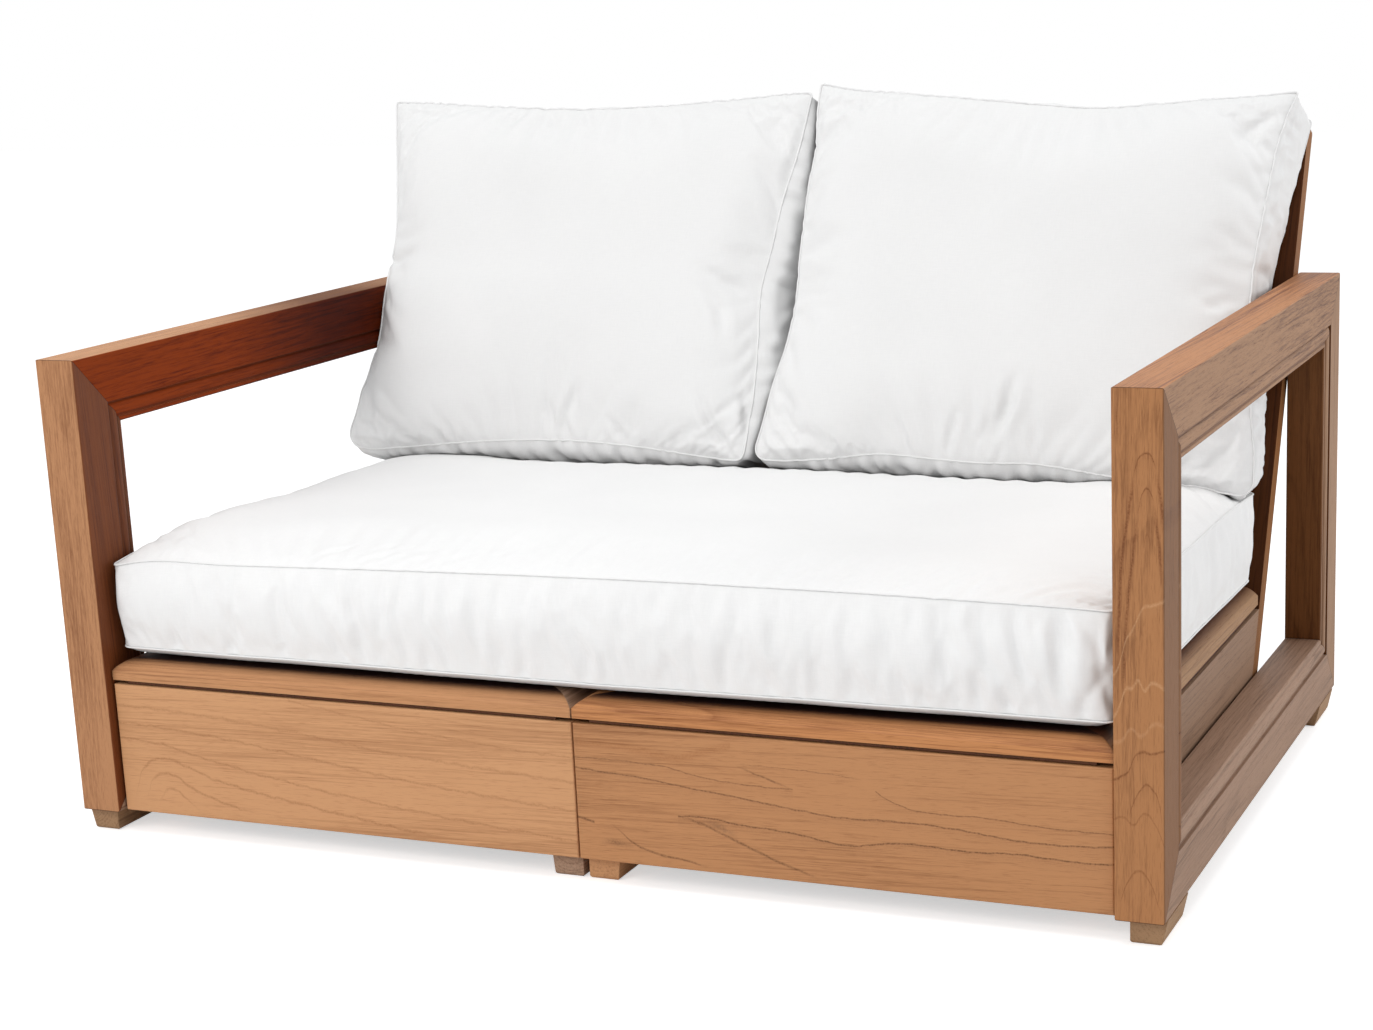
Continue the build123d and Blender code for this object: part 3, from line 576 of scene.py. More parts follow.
# Loops low at the left of the left box, and streaks that slope down to the right
leftBoxLines = {
    "axes": ("X", "Z"),
    "waver": 0.05,
    "colour": (150, 100, 62),
    "lines": (
        grainLine("0 .84, .3 .78, .6 .66, 1 .56", 0.014, 0.36, open=True, shade=0.12, fade=0.14),
        grainLine("0 .7, .2 .66, .5 .52, .8 .4, 1 .35", 0.012, 0.42, open=True, shade=0.14, fade=0.14),
        grainLine("0 .58, .1 .55, .2 .47, .34 .38, .55 .27, .8 .18, 1 .12",
                  0.012, 0.46, open=True, shade=0.12, fade=0.14),
        grainLine(".02 .02, .035 .22, .06 .38, .1 .44, .15 .4, .22 .31, .34 .23, .5 .14, .7 .05",
                  0.014, 0.5, shade=0.1, fade=0.12),
        grainLine(".048 .02, .062 .2, .085 .31, .115 .32, .15 .25, .2 .17, .3 .08",
                  0.014, 0.5, shade=0.08, fade=0.12),
        grainLine(".078 .02, .092 .15, .112 .2, .14 .15, .175 .05", 0.014, 0.46),
        grainLine(".4 .98, .55 .9, .75 .8, 1 .74", 0.01, 0.34, open=True, shade=0.2),
    ),
}

# Painted shade: the inside of the arms is painted darker than their front, partly a darker wood and
# partly painted shade, and the underside of the top rails is painted darker as painted shade. The
# outer face of the right front post is painted a little greyer and cooler: painted shade in a cool side
# light, with some weathering of the wood. The left top rail is painted darker towards its rear half,
# partly its own darker wood and partly painted shade near the cushion, and the deck's front boards are
# painted darker where they are enclosed below the cushion, as painted shade.
innerShade = {"toward": alongX, "colour": (162, 124, 92)}
underShade = {"toward": (0, 0, -1), "colour": (150, 112, 90)}
outerShade = {"toward": alongX, "colour": (192, 194, 200)}
leftRailShade = {
    "axis": "Y",
    "at": cadLow.y + 0.620,
    "depth": 0.300,
    "softness": 1.2,
    "colour": (150, 128, 104),
}
# Painted shade below the cushion, from an ambient occlusion node
deckCreviceShade = {"crevices": 4.0, "distance": 0.050, "colour": (52, 32, 24)}

boards = {
    "left_front_board": {
        **honey, "axis": (1, 0.006, 0.030), "pith": (0, 0.085, -0.105), "seed": 3.1, "rings": 0.0050,
        "wander": 0.040, "lines": 0.30, "streaks": 0.62, "drawn": (leftBoxLines,),
    },
    "right_front_board": {
        "light": (190, 136, 92), "dark": (134, 86, 52), "axis": (1, 0.012, 0.035),
        "pith": (-0.1, 0.062, -0.090), "seed": 7.4, "rings": 0.0070,
        "wander": 0.045, "lines": 0.34, "streaks": 0.7, "drawn": (rightBoxLines,),
    },
    "right_arm_front_post": {
        "light": (176, 122, 78), "dark": (112, 68, 38), "axis": (0.012, 0.030, 1),
        "pith": (-0.004, 0.060, 0.10), "seed": 1.7, "rings": 0.0058, "wander": 0.024, "lines": 0.36,
        "streaks": 0.75, "mitred": True, "drawn": (rightPostLegs, rightPostWaves), "faces": (outerShade,),
    },
    "left_arm_front_post": {
        "light": (184, 132, 92), "dark": (132, 84, 52), "axis": (0.010, -0.045, 1),
        "pith": (0.010, 0.060, 0.05), "seed": 5.2, "rings": 0.0056, "wander": 0.030, "lines": 0.55,
        "mitred": True, "faces": (innerShade,),
    },
    # Its outer face is painted cooler and greyer, as painted shade in a cool side light with some weathering
    # of the wood, and its underside gets painted shade.
    "right_arm_top_rail": {
        "light": (184, 128, 86), "dark": (112, 64, 36), "axis": (0.035, 1, 0.006), "pith": (-0.05, 0, 0.085),
        "seed": 9.3, "rings": 0.0050, "wander": 0.026, "lines": 0.62, "streaks": 1.0, "mitred": True,
        "faces": ({"toward": alongX, "colour": (229, 252, 282)}, underShade),  # over 255 lightens
    },
    # Its inner face is painted darker and redder, partly its own darker wood and partly painted shade, and
    # its underside and rear half are painted darker too.
    "left_arm_top_rail": {
        "light": (202, 152, 114), "dark": (128, 80, 52), "axis": (0.02, 1, 0.008), "pith": (0.09, 0, 0.05),
        "seed": 2.6, "rings": 0.0046, "wander": 0.03, "streaks": 1.1, "mitred": True, "gloss": 0.06,
        "faces": ({"toward": alongX, "colour": (166, 92, 36)}, underShade, leftRailShade),
    },
    # Its tones are painted darker, as painted shade on the side away from the key lamp, and its quirks get
    # little painted shade.
    "right_arm_bottom_rail": {
        "light": (162, 130, 108), "dark": (112, 84, 64), "axis": (0.006, 1, 0.012), "pith": (-0.07, 0, -0.02),
        "seed": 6.6, "rings": 0.0056, "wander": 0.03, "lines": 0.45, "mitred": True, "quirk": 0.12,
    },
    "left_arm_bottom_rail": {
        **greyTan, "axis": (0.006, 1, 0.010), "pith": (0.08, 0, 0.03), "seed": 8.8, "rings": 0.0050,
        "wander": 0.025, "lines": 0.5, "mitred": True,
    },
    # Its front face is painted darker: painted shade.
    "right_arm_rear_post": {
        "light": (164, 130, 104), "dark": (114, 84, 62), "axis": (0.01, 0.02, 1), "pith": (-0.02, 0.07, 0),
        "seed": 4.4, "rings": 0.0052, "lines": 0.5, "mitred": True, "gloss": 0.12,
        "faces": ({"toward": (0, -1, 0), "colour": (184, 150, 108)},),
    },
    "left_arm_rear_post": {
        **russet, "axis": (-0.01, 0.02, 1), "pith": (0.03, 0.07, 0), "seed": 0.9, "rings": 0.0048,
        "lines": 0.5, "mitred": True,
    },
    "left_deck_front_board": {
        "light": (196, 142, 98), "dark": (142, 92, 58), "axis": (1, 0.01, 0.004), "pith": (0, 0.03, -0.09),
        "seed": 11.2, "rings": 0.0044, "lines": 0.4, "faces": (deckCreviceShade,),
    },
    "right_deck_front_board": {
        "light": (198, 136, 86), "dark": (132, 76, 40), "axis": (1, -0.01, 0.004), "pith": (0, 0.05, -0.07),
        "seed": 12.9, "rings": 0.0050, "lines": 0.5, "faces": (deckCreviceShade,),
    },
}

# The rest are plainer boards, each with its own stretch of grain.
plainBoards = (
    (alongX, ("rear_board", "deck_rear_board", "seat_slats", "back_bottom_rail", "back_top_rail")),
    (alongY, ("outer_side_board", "inner_side_board", "base_cleats", "deck_inner_board",
              "deck_outer_board", "slat_bearer", "outer_feet", "inner_feet", "arm_tenons")),
    (alongZ, ("corner_blocks",)),
    (alongBack, ("back_inner_stile", "back_outer_stile", "back_slats")),
)
dice = random.Random(26)
for axis, names in plainBoards:
    for name in names:
        for side in ("left_", "right_"):
            tilt = Vector([dice.uniform(-0.015, 0.015) for _ in range(3)])
            boards[side + name] = {
                **dice.choice((honey, amber, amber, greyTan)),
                "axis": tuple(Vector(axis) + tilt),
                "pith": (dice.uniform(-0.05, 0.05), dice.uniform(0.05, 0.09), dice.uniform(-0.06, 0.06)),
                "seed": dice.uniform(0, 30),
                "rings": dice.uniform(0.0042, 0.006),
                "lines": dice.uniform(0.45, 0.65),
            }
for side in ("left_", "right_"):
    # The outer stiles are painted darker, and their front faces more so: painted shade.
    boards[side + "back_outer_stile"].update(
        light=(146, 100, 62), dark=(100, 62, 36), gloss=0.1,
        faces=({"toward": outOfBack, "colour": (150, 124, 98)},))
    # The outer side boards are painted darker: painted shade.
    boards[side + "outer_side_board"].update(light=(150, 119, 96), dark=(102, 76, 58))
    boards[side + "outer_feet"].update(light=(170, 134, 100), dark=(122, 90, 62))
    # The cleats are painted dark: painted shade in the gap below the deck.
    boards[side + "base_cleats"].update(light=(98, 58, 34), dark=(58, 34, 20))
    # the top of the deck is painted darker than its edge: painted shade below the cushion
    boards[side + "deck_outer_board"].update(
        light=(170, 132, 98), dark=(122, 86, 58),
        faces=({"toward": alongZ, "from": 0.72, "colour": (132, 96, 80)},))

for node, board in boards.items():
    dress(node, teakMaterial("teak_" + node, node, board))
print("teak boards finished:", len(boards))

# Zinc-plated steel of the hidden bolts
steelLook = {
    "dull": (0.52, 0.52, 0.50, 1),
    "bright": (0.70, 0.70, 0.69, 1),
    "wearScale": 180.0,
    "roughness": ((0, 0.28), (1, 0.5)),
}


def steelMaterial():
    material, tree, shader = newMaterial("boltSteel")
    shader.inputs["Metallic"].default_value = 1.0
    worn = noiseNode(objectPlace(tree), steelLook["wearScale"], 4.0)[0]
    tree.links.new(mixColours(worn, steelLook["dull"], steelLook["bright"]), shader.inputs["Base Color"])
    tree.links.new(rampNode(worn, steelLook["roughness"]), shader.inputs["Roughness"])
    return material


steel = steelMaterial()
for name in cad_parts:
    if "bolt" in name or "nut" in name:
        dress(name, steel)

# Plain woven canvas. Its slubs are long noises along the threads.
canvasLook = {
    "slubs": ((60, 700, 1), (700, 60, 1)),
    "threadRelief": 0.35,
    "cloudScale": 5.0,
    "slubShare": 0.6,
    "cloudShare": 0.4,
    "mottle": ((0.35, 0), (0.68, 1)),
    "pale": (0.885, 0.883, 0.879),
    "darker": (0.838, 0.836, 0.833),
    # painted shade in folds and where cushions touch: its colour, and how far the occlusion looks
    "closed": (0.40, 0.40, 0.40, 1),
    "closedDistance": 0.055,
    "shader": {"Roughness": 0.88, "Specular IOR Level": 0.18, "Sheen Weight": 0.12, "Sheen Roughness": 0.6},
    "bump": {"Strength": 0.35, "Distance": 0.0005},
}


# The threads run along the panel's own width and height.
def makeCanvasWeave():
    group, given, out = newGroup(
        "canvasWeave",
        (("Place", "Vector", None), ("Thread", "Float", 0.0009)),
        (("Height", "Float"), ("Slub", "Float")),
    )
    parts = partsOf(sizedVector(given["Place"], divided(1.0, given["Thread"])))
    across, upward = [mathNode("SINE", times(parts[axis], math.pi)) for axis in ("X", "Y")]
    weave = mathNode("ABSOLUTE", times(across, upward))
    stretched = [vectorNode("MULTIPLY", given["Place"], stretch) for stretch in canvasLook["slubs"]]
    slub = times(plus(*[noiseNode(place, 1.0, 2.0)[0] for place in stretched]), 0.5)
    group.links.new(slub, out["Slub"])
    group.links.new(plus(times(weave, canvasLook["threadRelief"]), slub), out["Height"])
    return group


canvasWeave = makeCanvasWeave()


# The tone is painted light and shade for the light that a cover catches: the seat is painted a little
# lighter and the leaning cushions darker. Folds, and the places where cushions touch, get painted shade.
def canvasMaterial(name, crevices, tone):
    material, tree, shader = newMaterial(name)
    place = addNode(tree, "ShaderNodeUVMap", uv_map="panel").outputs[0]
    weave = addNode(tree, "ShaderNodeGroup", {"Place": place}, node_tree=canvasWeave).outputs
    cloudy = noiseNode(objectPlace(tree), canvasLook["cloudScale"], 2.0)[0]
    pale, darker = [tuple(tone * part for part in canvasLook[key]) + (1,) for key in ("pale", "darker")]
    mottled = plus(times(weave["Slub"], canvasLook["slubShare"]), times(cloudy, canvasLook["cloudShare"]))
    colour = mixColours(rampNode(mottled, canvasLook["mottle"]), pale, darker)
    closed = creviceShadeMask(tree, canvasLook["closedDistance"], crevices)
    tree.links.new(mixColours(closed, colour, canvasLook["closed"]), shader.inputs["Base Color"])
    for label, value in canvasLook["shader"].items():
        shader.inputs[label].default_value = value
    bump = addNode(tree, "ShaderNodeBump", {"Height": weave["Height"], **canvasLook["bump"]})
    tree.links.new(bump.outputs[0], shader.inputs["Normal"])
    return material


def coverLook(name, crevices, tone):
    return {
        "panels": canvasMaterial(name + "Canvas", crevices, tone),
        "welts": canvasMaterial(name + "Welt", 0.0, tone),
    }


# Lit and shaded copies of one canvas: the seat cover is painted lighter than the back covers.
seatCover = coverLook("seat", 1.6, 1.02)
backCover = coverLook("back", 1.3, 0.945)
print("canvas ready")


# A smooth curve through a few (share, value) pairs
def smoothThrough(pairs, shares):
    pairs = np.array(pairs, float)
    xs, ys = pairs[:, 0], pairs[:, 1]
    slopes = np.gradient(ys, xs)
    k = np.clip(np.searchsorted(xs, shares, side="right") - 1, 0, len(xs) - 2)
    gap = xs[k + 1] - xs[k]
    f = np.clip((shares - xs[k]) / gap, 0, 1)
    start = ys[k] * (2 * f**3 - 3 * f**2 + 1) + slopes[k] * gap * (f**3 - 2 * f**2 + f)
    end = ys[k + 1] * (3 * f**2 - 2 * f**3) + slopes[k + 1] * gap * (f**3 - f**2)
    return start + end


# Shares of a side, closer together near its ends
def gradedShares(count, grading):
    t = np.linspace(0, 1, count + 1)
    return t - grading * np.sin(2 * math.pi * t) / (2 * math.pi)


# One side of a panel: a straight line between two corners, moved outward and forward by its bows.
# A bow is (share, outward) or (share, outward, forward).
def bowedSide(start, end, bows, outward, shares):
    start, end = np.array(start, float), np.array(end, float)
    full = [(0, 0, 0), *((*bow, 0)[:3] for bow in bows), (1, 0, 0)]
    out = smoothThrough([(a, b) for a, b, c in full], shares)[:, None]
    forward = smoothThrough([(a, c) for a, b, c in full], shares)[:, None]
    moved = np.array((*outward, 0)) * out + np.array((0, 0, 1)) * forward
    return start + (end - start) * shares[:, None] + moved


# A panel's grid of points inside its four sides
def panelGrid(panel, s, t):
    bottomLeft, bottomRight, topRight, topLeft = [np.array(c, float) for c in panel["corners"]]
    bottom = bowedSide(bottomLeft, bottomRight, panel["bottom"], (0, -1), s)
    top = bowedSide(topLeft, topRight, panel["top"], (0, 1), s)
    left = bowedSide(bottomLeft, topLeft, panel["left"], (-1, 0), t)
    right = bowedSide(bottomRight, topRight, panel["right"], (1, 0), t)
    s, t = s[None, :, None], t[:, None, None]
    ruled = (1 - t) * bottom[None] + t * top[None] + (1 - s) * left[:, None] + s * right[:, None]
    low = (1 - s) * (1 - t) * bottomLeft + s * (1 - t) * bottomRight
    return ruled - (low + (1 - s) * t * topLeft + s * t * topRight)


# Rounds the four corners of a grid, each by its own radius, without crowding its lines
def roundCorners(grid, radii):
    for radius, (rowStep, columnStep) in zip(radii, ((1, 1), (1, -1), (-1, -1), (-1, 1))):
        view = grid[::rowStep, ::columnStep]
        fromSide = np.linalg.norm(view - view[:, :1], axis=2)
        fromEnd = np.linalg.norm(view - view[:1], axis=2)
        inward = view[:, 1:2] - view[:, :1]
        inward /= np.linalg.norm(inward, axis=2)[..., None]
        upward = view[1:2] - view[:1]
        upward /= np.linalg.norm(upward, axis=2)[..., None]
        a, b = np.clip(1 - fromSide / radius, 0, 1), np.clip(1 - fromEnd / radius, 0, 1)
        moveIn = radius * a * (1 - np.sqrt(1 - b**2 / 2))
        moveUp = radius * b * (1 - np.sqrt(1 - a**2 / 2))
        view += inward * moveIn[..., None] + upward * moveUp[..., None]
    return grid


# How full a panel is at each place: quick from the seam, then level
def crownShare(grid, reach, profile):
    width = np.linalg.norm(grid[:, -1] - grid[:, 0], axis=1)[:, None]
    height = np.linalg.norm(grid[-1] - grid[0], axis=1)[None, :]
    fromLeft = np.linalg.norm(grid - grid[:, :1], axis=2)
    fromBottom = np.linalg.norm(grid - grid[:1], axis=2)
    sideways = np.minimum(fromLeft, width - fromLeft) / reach
    upward = np.minimum(fromBottom, height - fromBottom) / reach
    full = [smoothThrough(profile, np.clip(d, 0, 1)) for d in (sideways, upward)]
    return full[0] * full[1]


# The border of a grid as one loop of indices: bottom, right, top, left
def borderLoop(across, up):
    wide = across + 1
    loop = list(range(across))
    loop += [row * wide + across for row in range(up)]
    loop += [up * wide + column for column in range(across, 0, -1)]
    loop += [row * wide for row in range(up, 0, -1)]
    return loop


# A smooth piece of one material
def addPiece(name, mesh, material):
    mesh.materials.append(material)
    mesh.polygons.foreach_set("use_smooth", [True] * len(mesh.polygons))
    piece = bpy.data.objects.new(name, mesh)
    scene.collection.objects.link(piece)
    return piece


# How the boxing swells. On the panels' map it lies above the panels, from "mapPlace" on.
boxingShape = {
    "mapPlace": 3,
    "sideSoftness": 0.35,
    "swellSkew": 0.8,
    "lastStep": 0.006,
}


# A boxed cushion as a mesh of its own panels: front, rear and the boxing between their seams.
# The panels' own measures are kept as the "panel" UV map, for the weave.
def boxedCushion(spec):
    across, up, deep = spec["steps"]
    s, t = gradedShares(across, spec["closer"][0]), gradedShares(up, spec["closer"][1])
    front = roundCorners(panelGrid(spec["front"], s, t), spec["rounded"])
    rear = roundCorners(panelGrid(spec["rear"], s, t), spec["rounded"])
    uvs = [front[..., :2].reshape(-1, 2), rear[..., :2].reshape(-1, 2)]
    crowned = front.copy()
    crowned[..., 2] += spec["crown"] * crownShare(front, spec["crownReach"], spec["crownProfile"])
    sunk = rear.copy()
    sunk[..., 2] -= spec["rearCrown"] * crownShare(rear, spec["rearReach"], spec["crownProfile"])
    gridCount = (across + 1) * (up + 1)
    loop = borderLoop(across, up)
    ringSize = len(loop)
    frontLoop, rearLoop = front.reshape(-1, 3)[loop], rear.reshape(-1, 3)[loop]
    tangent = np.roll(frontLoop, -1, axis=0) - np.roll(frontLoop, 1, axis=0)
    outward = np.stack([tangent[:, 1], -tangent[:, 0], 0 * tangent[:, 0]], axis=1)
    outward /= np.linalg.norm(outward, axis=1)[:, None]
    # each side bulges by its own amount, and less at the corners
    tuck, softness, bulge = spec["cornerTuck"], boxingShape["sideSoftness"], spec["boxingBulge"]
    amounts = np.concatenate([
        -tuck + (bulge[side] + tuck) * np.clip(np.sin(np.pi * np.linspace(0, 1, n)), 0, 1) ** softness
        for side, n in (("bottom", across), ("right", up), ("top", across), ("left", up))
    ])
    girth = np.concatenate([[0], np.cumsum(np.linalg.norm(np.diff(frontLoop, axis=0), axis=1))])
    mapPlace = boxingShape["mapPlace"]
    rows = []
    for row in range(1, deep):
        share = row / deep
        swell = math.sin(math.pi * share ** boxingShape["swellSkew"]) ** spec["swellPower"]
        rows.append(frontLoop * (1 - share) + rearLoop * share + outward * (amounts * swell)[:, None])
        uvs.append(np.stack([girth, mapPlace + share * spec["boxing"] * np.ones(ringSize)], axis=1))
    vertices = np.concatenate([crowned.reshape(-1, 3), sunk.reshape(-1, 3), *rows])
    faces = []
    for row in range(up):
        for column in range(across):
            a = row * (across + 1) + column
            quad = (a, a + 1, a + across + 2, a + across + 1)
            faces.append(quad)
            faces.append(tuple(gridCount + i for i in reversed(quad)))
    rings = [loop]
    for k in range(deep - 1):
        rings.append([2 * gridCount + k * ringSize + i for i in range(ringSize)])
    rings.append([gridCount + i for i in loop])
    panelPlaces = np.concatenate(uvs)
    corners = [panelPlaces[list(face)] for face in faces]
    for row, (inner, outer) in enumerate(zip(rings, rings[1:])):
        near, far = [mapPlace + k / deep * spec["boxing"] for k in (row, row + 1)]
        for i in range(ringSize):
            j = (i + 1) % ringSize
            faces.append((inner[j], inner[i], outer[i], outer[j]))
            here, there = girth[i], girth[j] if j else girth[i] + boxingShape["lastStep"]
            corners.append(((there, near), (here, near), (here, far), (there, far)))
    mesh = bpy.data.meshes.new(spec["name"])
    mesh.from_pydata([spec["place"](*v) for v in vertices], [], faces)
    layer = mesh.uv_layers.new(name="panel")
    layer.data.foreach_set("uv", np.concatenate(corners).astype(np.float32).ravel())
    mesh.update()
    piece = addPiece(spec["name"], mesh, spec["cover"]["panels"])
    return {"piece": piece, "spec": spec, "gridCount": gridCount, "rings": rings, "panelPlaces": panelPlaces}


def vertexValues(mesh, what):
    values = np.empty(len(mesh.vertices) * 3, np.float32)
    mesh.vertices.foreach_get(what, values)
    return values.reshape(-1, 3).astype(float)


def placesOf(mesh):
    return vertexValues(mesh, "co")


def setPlaces(mesh, places):
    mesh.vertices.foreach_set("co", places.astype(np.float32).ravel())
    mesh.update()


# Moves each point along its normal
def pushOut(mesh, shift):
    setPlaces(mesh, placesOf(mesh) + vertexValues(mesh, "normal") * shift[:, None])


# What all the covers have in common in the simulation
coverCloth = {
    "quality": 4,
    "damping": 2,
    "pressure": 4.0,
    "mass": 0.25,
    "pinning": 1.0,
    "hold": 0.03,
    "holdRear": 0.9,
}


# Cloth simulation: the cover is cut a little too large, held at its seams and blown up from inside.
def puffUp(made):
    begun = time.time()
    piece, spec, count, rings = made["piece"], made["spec"], made["gridCount"], made["rings"]
    look = {**coverCloth, **spec["cloth"]}
    start = placesOf(piece.data)
    held = np.full(len(start), look["hold"])
    held[count:2 * count] = look["holdRear"]
    held[2 * count:] = look["holdBoxing"]
    across, up, deep = spec["steps"]
    rows, columns = np.divmod(np.arange(count), across + 1)
    steps = np.minimum(np.minimum(rows, up - rows), np.minimum(columns, across - columns))
    for step, hold in enumerate(look["seamHold"]):
        held[:count][steps == step + 1] = hold
        for ring in (rings[step + 1], rings[-2 - step]):
            held[ring] = hold
    for ring in (rings[0], rings[-1]):
        held[ring] = 1.0
    group = piece.vertex_groups.new(name="held")
    for weight in np.unique(held):
        group.add([int(i) for i in np.flatnonzero(held == weight)], float(weight), "REPLACE")
    cloth = piece.modifiers.new("cover", "CLOTH")
    settings = cloth.settings
    settings.quality = look["quality"]
    settings.mass = look["mass"]
    settings.tension_stiffness = settings.compression_stiffness = look["stiffness"]
    settings.shear_stiffness = look["stiffness"] / 3
    settings.bending_stiffness = look["bending"]
    settings.air_damping = look["damping"]
    settings.vertex_group_mass = "held"
    settings.pin_stiffness = look["pinning"]
    settings.shrink_min = -look["extra"]
    settings.use_pressure = True
    settings.uniform_pressure_force = look["pressure"]
    settings.effector_weights.gravity = 0
    cloth.collision_settings.use_collision = False
    cloth.point_cache.frame_start = 1
    cloth.point_cache.frame_end = look["frames"]
    for number in range(1, look["frames"] + 1):
        scene.frame_set(number)
    blown = piece.evaluated_get(bpy.context.evaluated_depsgraph_get())
    moved = placesOf(blown.data) - start
    far = np.linalg.norm(moved, axis=1)
    scale = look["cap"] * np.tanh(far / look["cap"]) / np.maximum(far, 1e-9)
    piece.modifiers.remove(cloth)
    piece.vertex_groups.clear()
    scene.frame_set(1)
    setPlaces(piece.data, start + moved * scale[:, None])
    largest, took = round(float(far.max()) * 1000, 1), round(time.time() - begun)
    print(spec["name"], "puffed, largest move", largest, "mm,", took, "s")


print("cushions next")

# Places on the leaning back: X across, "up" along the lean from its heel, "out" square to it
heel = Vector((0, cadLow.y + 0.680, 0.030))
backUp, backOut = Vector(alongBack), Vector(outOfBack)


def onBack(x, up, out):
    return Vector((x, 0, 0)) + heel + backUp * up + backOut * out


seatLow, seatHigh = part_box("seat_cushion")


def onSeat(x, back, rise):
    return Vector((x, seatLow.y + back, seatLow.z + rise))


def crease(points, width, depth):
    return numberRows(points), width, depth


# Corners run bottom left, bottom right, top right, top left. Creases and gathers lie in the panel's
# own measures, and those of the boxing from its map place on. A row of gathers has its two ends,
# their number, the way in from the seam, and then their length, lean, width and depth.
seat = {
    "name": "seatCushion",
    "node": "seat_cushion",
    "cover": seatCover,
    "steps": (212, 76, 20),
    "closer": (0.25, 0.45),
    "place": onSeat,
    "front": {
        "corners": numberRows("-.65 0 .119, .65 0 .139, .65 .704 .126, -.65 .704 .126"),
        "left": numberRows(".06 -.002 .006, .5 -.004 .003, .94 -.003"),
        "right": numberRows(".06 -.003 -.003, .5 -.004 -.002, .94 -.003"),
        "bottom": numberRows(".03 -.001 .007, .14 0 .009, .37 0 .012, .62 .001 .012, .85 -.001 .006, "
                             ".97 -.003 .001"),
        "top": numberRows(".04 -.005, .5 -.005, .96 -.005"),
    },
    "rear": {
        "corners": numberRows("-.647 .002 .014, .647 .002 .015, .645 .696 .012, -.645 .696 .012"),
        "left": numberRows(".5 -.004"),
        "right": numberRows(".5 -.004"),
        "bottom": numberRows(".03 0 0, .2 .004 .001, .5 .006 0, .8 .004 .001, .97 0 0"),
        "top": numberRows(".5 -.005"),
    },
    "rounded": (0.016, 0.010, 0.020, 0.020),
    "boxing": 0.126,
    "boxingBulge": {"bottom": 0.011, "right": 0.003, "top": 0.006, "left": 0.003},
    "swellPower": 1.25,
    "cornerTuck": -0.001,
    "crown": 0.016,
    "crownReach": 0.110,
    "crownProfile": ((0, 0), (0.08, 0.22), (0.25, 0.56), (0.6, 0.92), (1, 1)),
    "rearCrown": 0.0125,
    "rearReach": 0.036,
    "hollows": 0.0007,
    "wrinkles": {"often": 38, "lean": 0.17, "depth": 0.0029, "seed": 1.5},
    "welt": 0.0011,
    "cloth": {
        "frames": 16,
        "stiffness": 20,
        "bending": 0.25,
        "holdBoxing": 0.03,
        "extra": 0.020,
        "cap": 0.009,
        "seamHold": (0.6, 0.3, 0.12),
    },
    "gatherSeed": 4,
    "creases": (),
    "gathers": (
        ((0.10, 3.012), (1.27, 3.012), 34, (0, 1), 0.080, 0.16, 0.0072, 0.0034),
        ((0.08, 3.126), (1.27, 3.126), 36, (0, -1), 0.055, -0.14, 0.0060, 0.0026),
        ((1.32, 3.0), (1.98, 3.0), 20, (0, 1), 0.090, 0.06, 0.0060, 0.0020),
        ((-0.40, 0.0), (-0.12, 0.0), 9, (0, 1), 0.070, 0.9, 0.0050, 0.0012),
        ((0.15, 0.0), (0.60, 0.0), 12, (0, 1), 0.060, 0.6, 0.0045, 0.0012),
        ((0.55, 0.01), (0.645, 0.01), 5, (0.3, 1), 0.035, 0.4, 0.0035, 0.0014),
        ((0.648, 0.05), (0.648, 0.66), 16, (-1, 0), 0.040, 0.2, 0.0045, 0.0012),
    ),
}

# What the two back cushions share
backAlike = {
    "cover": backCover,
    "closer": (0.3, 0.5),
    "place": onBack,
    "boxing": 0.142,
    "swellPower": 0.6,
    "cornerTuck": 0.003,
    "crownReach": 0.150,
    "crownProfile": ((0, 0), (0.08, 0.40), (0.25, 0.76), (0.6, 0.96), (1, 1)),
    "rearCrown": 0.003,
    "rearReach": 0.060,
    "hollows": 0.0014,
    "wrinkles": {"often": 30, "lean": 0.4, "depth": 0.0020, "seed": 6.5},
    "welt": 0.0014,
    "cloth": {
        "frames": 18,
        "stiffness": 18,
        "bending": 0.2,
        "holdBoxing": 0.25,
        "extra": 0.030,
        "cap": 0.013,
        "seamHold": (0.4, 0.2),
    },
}

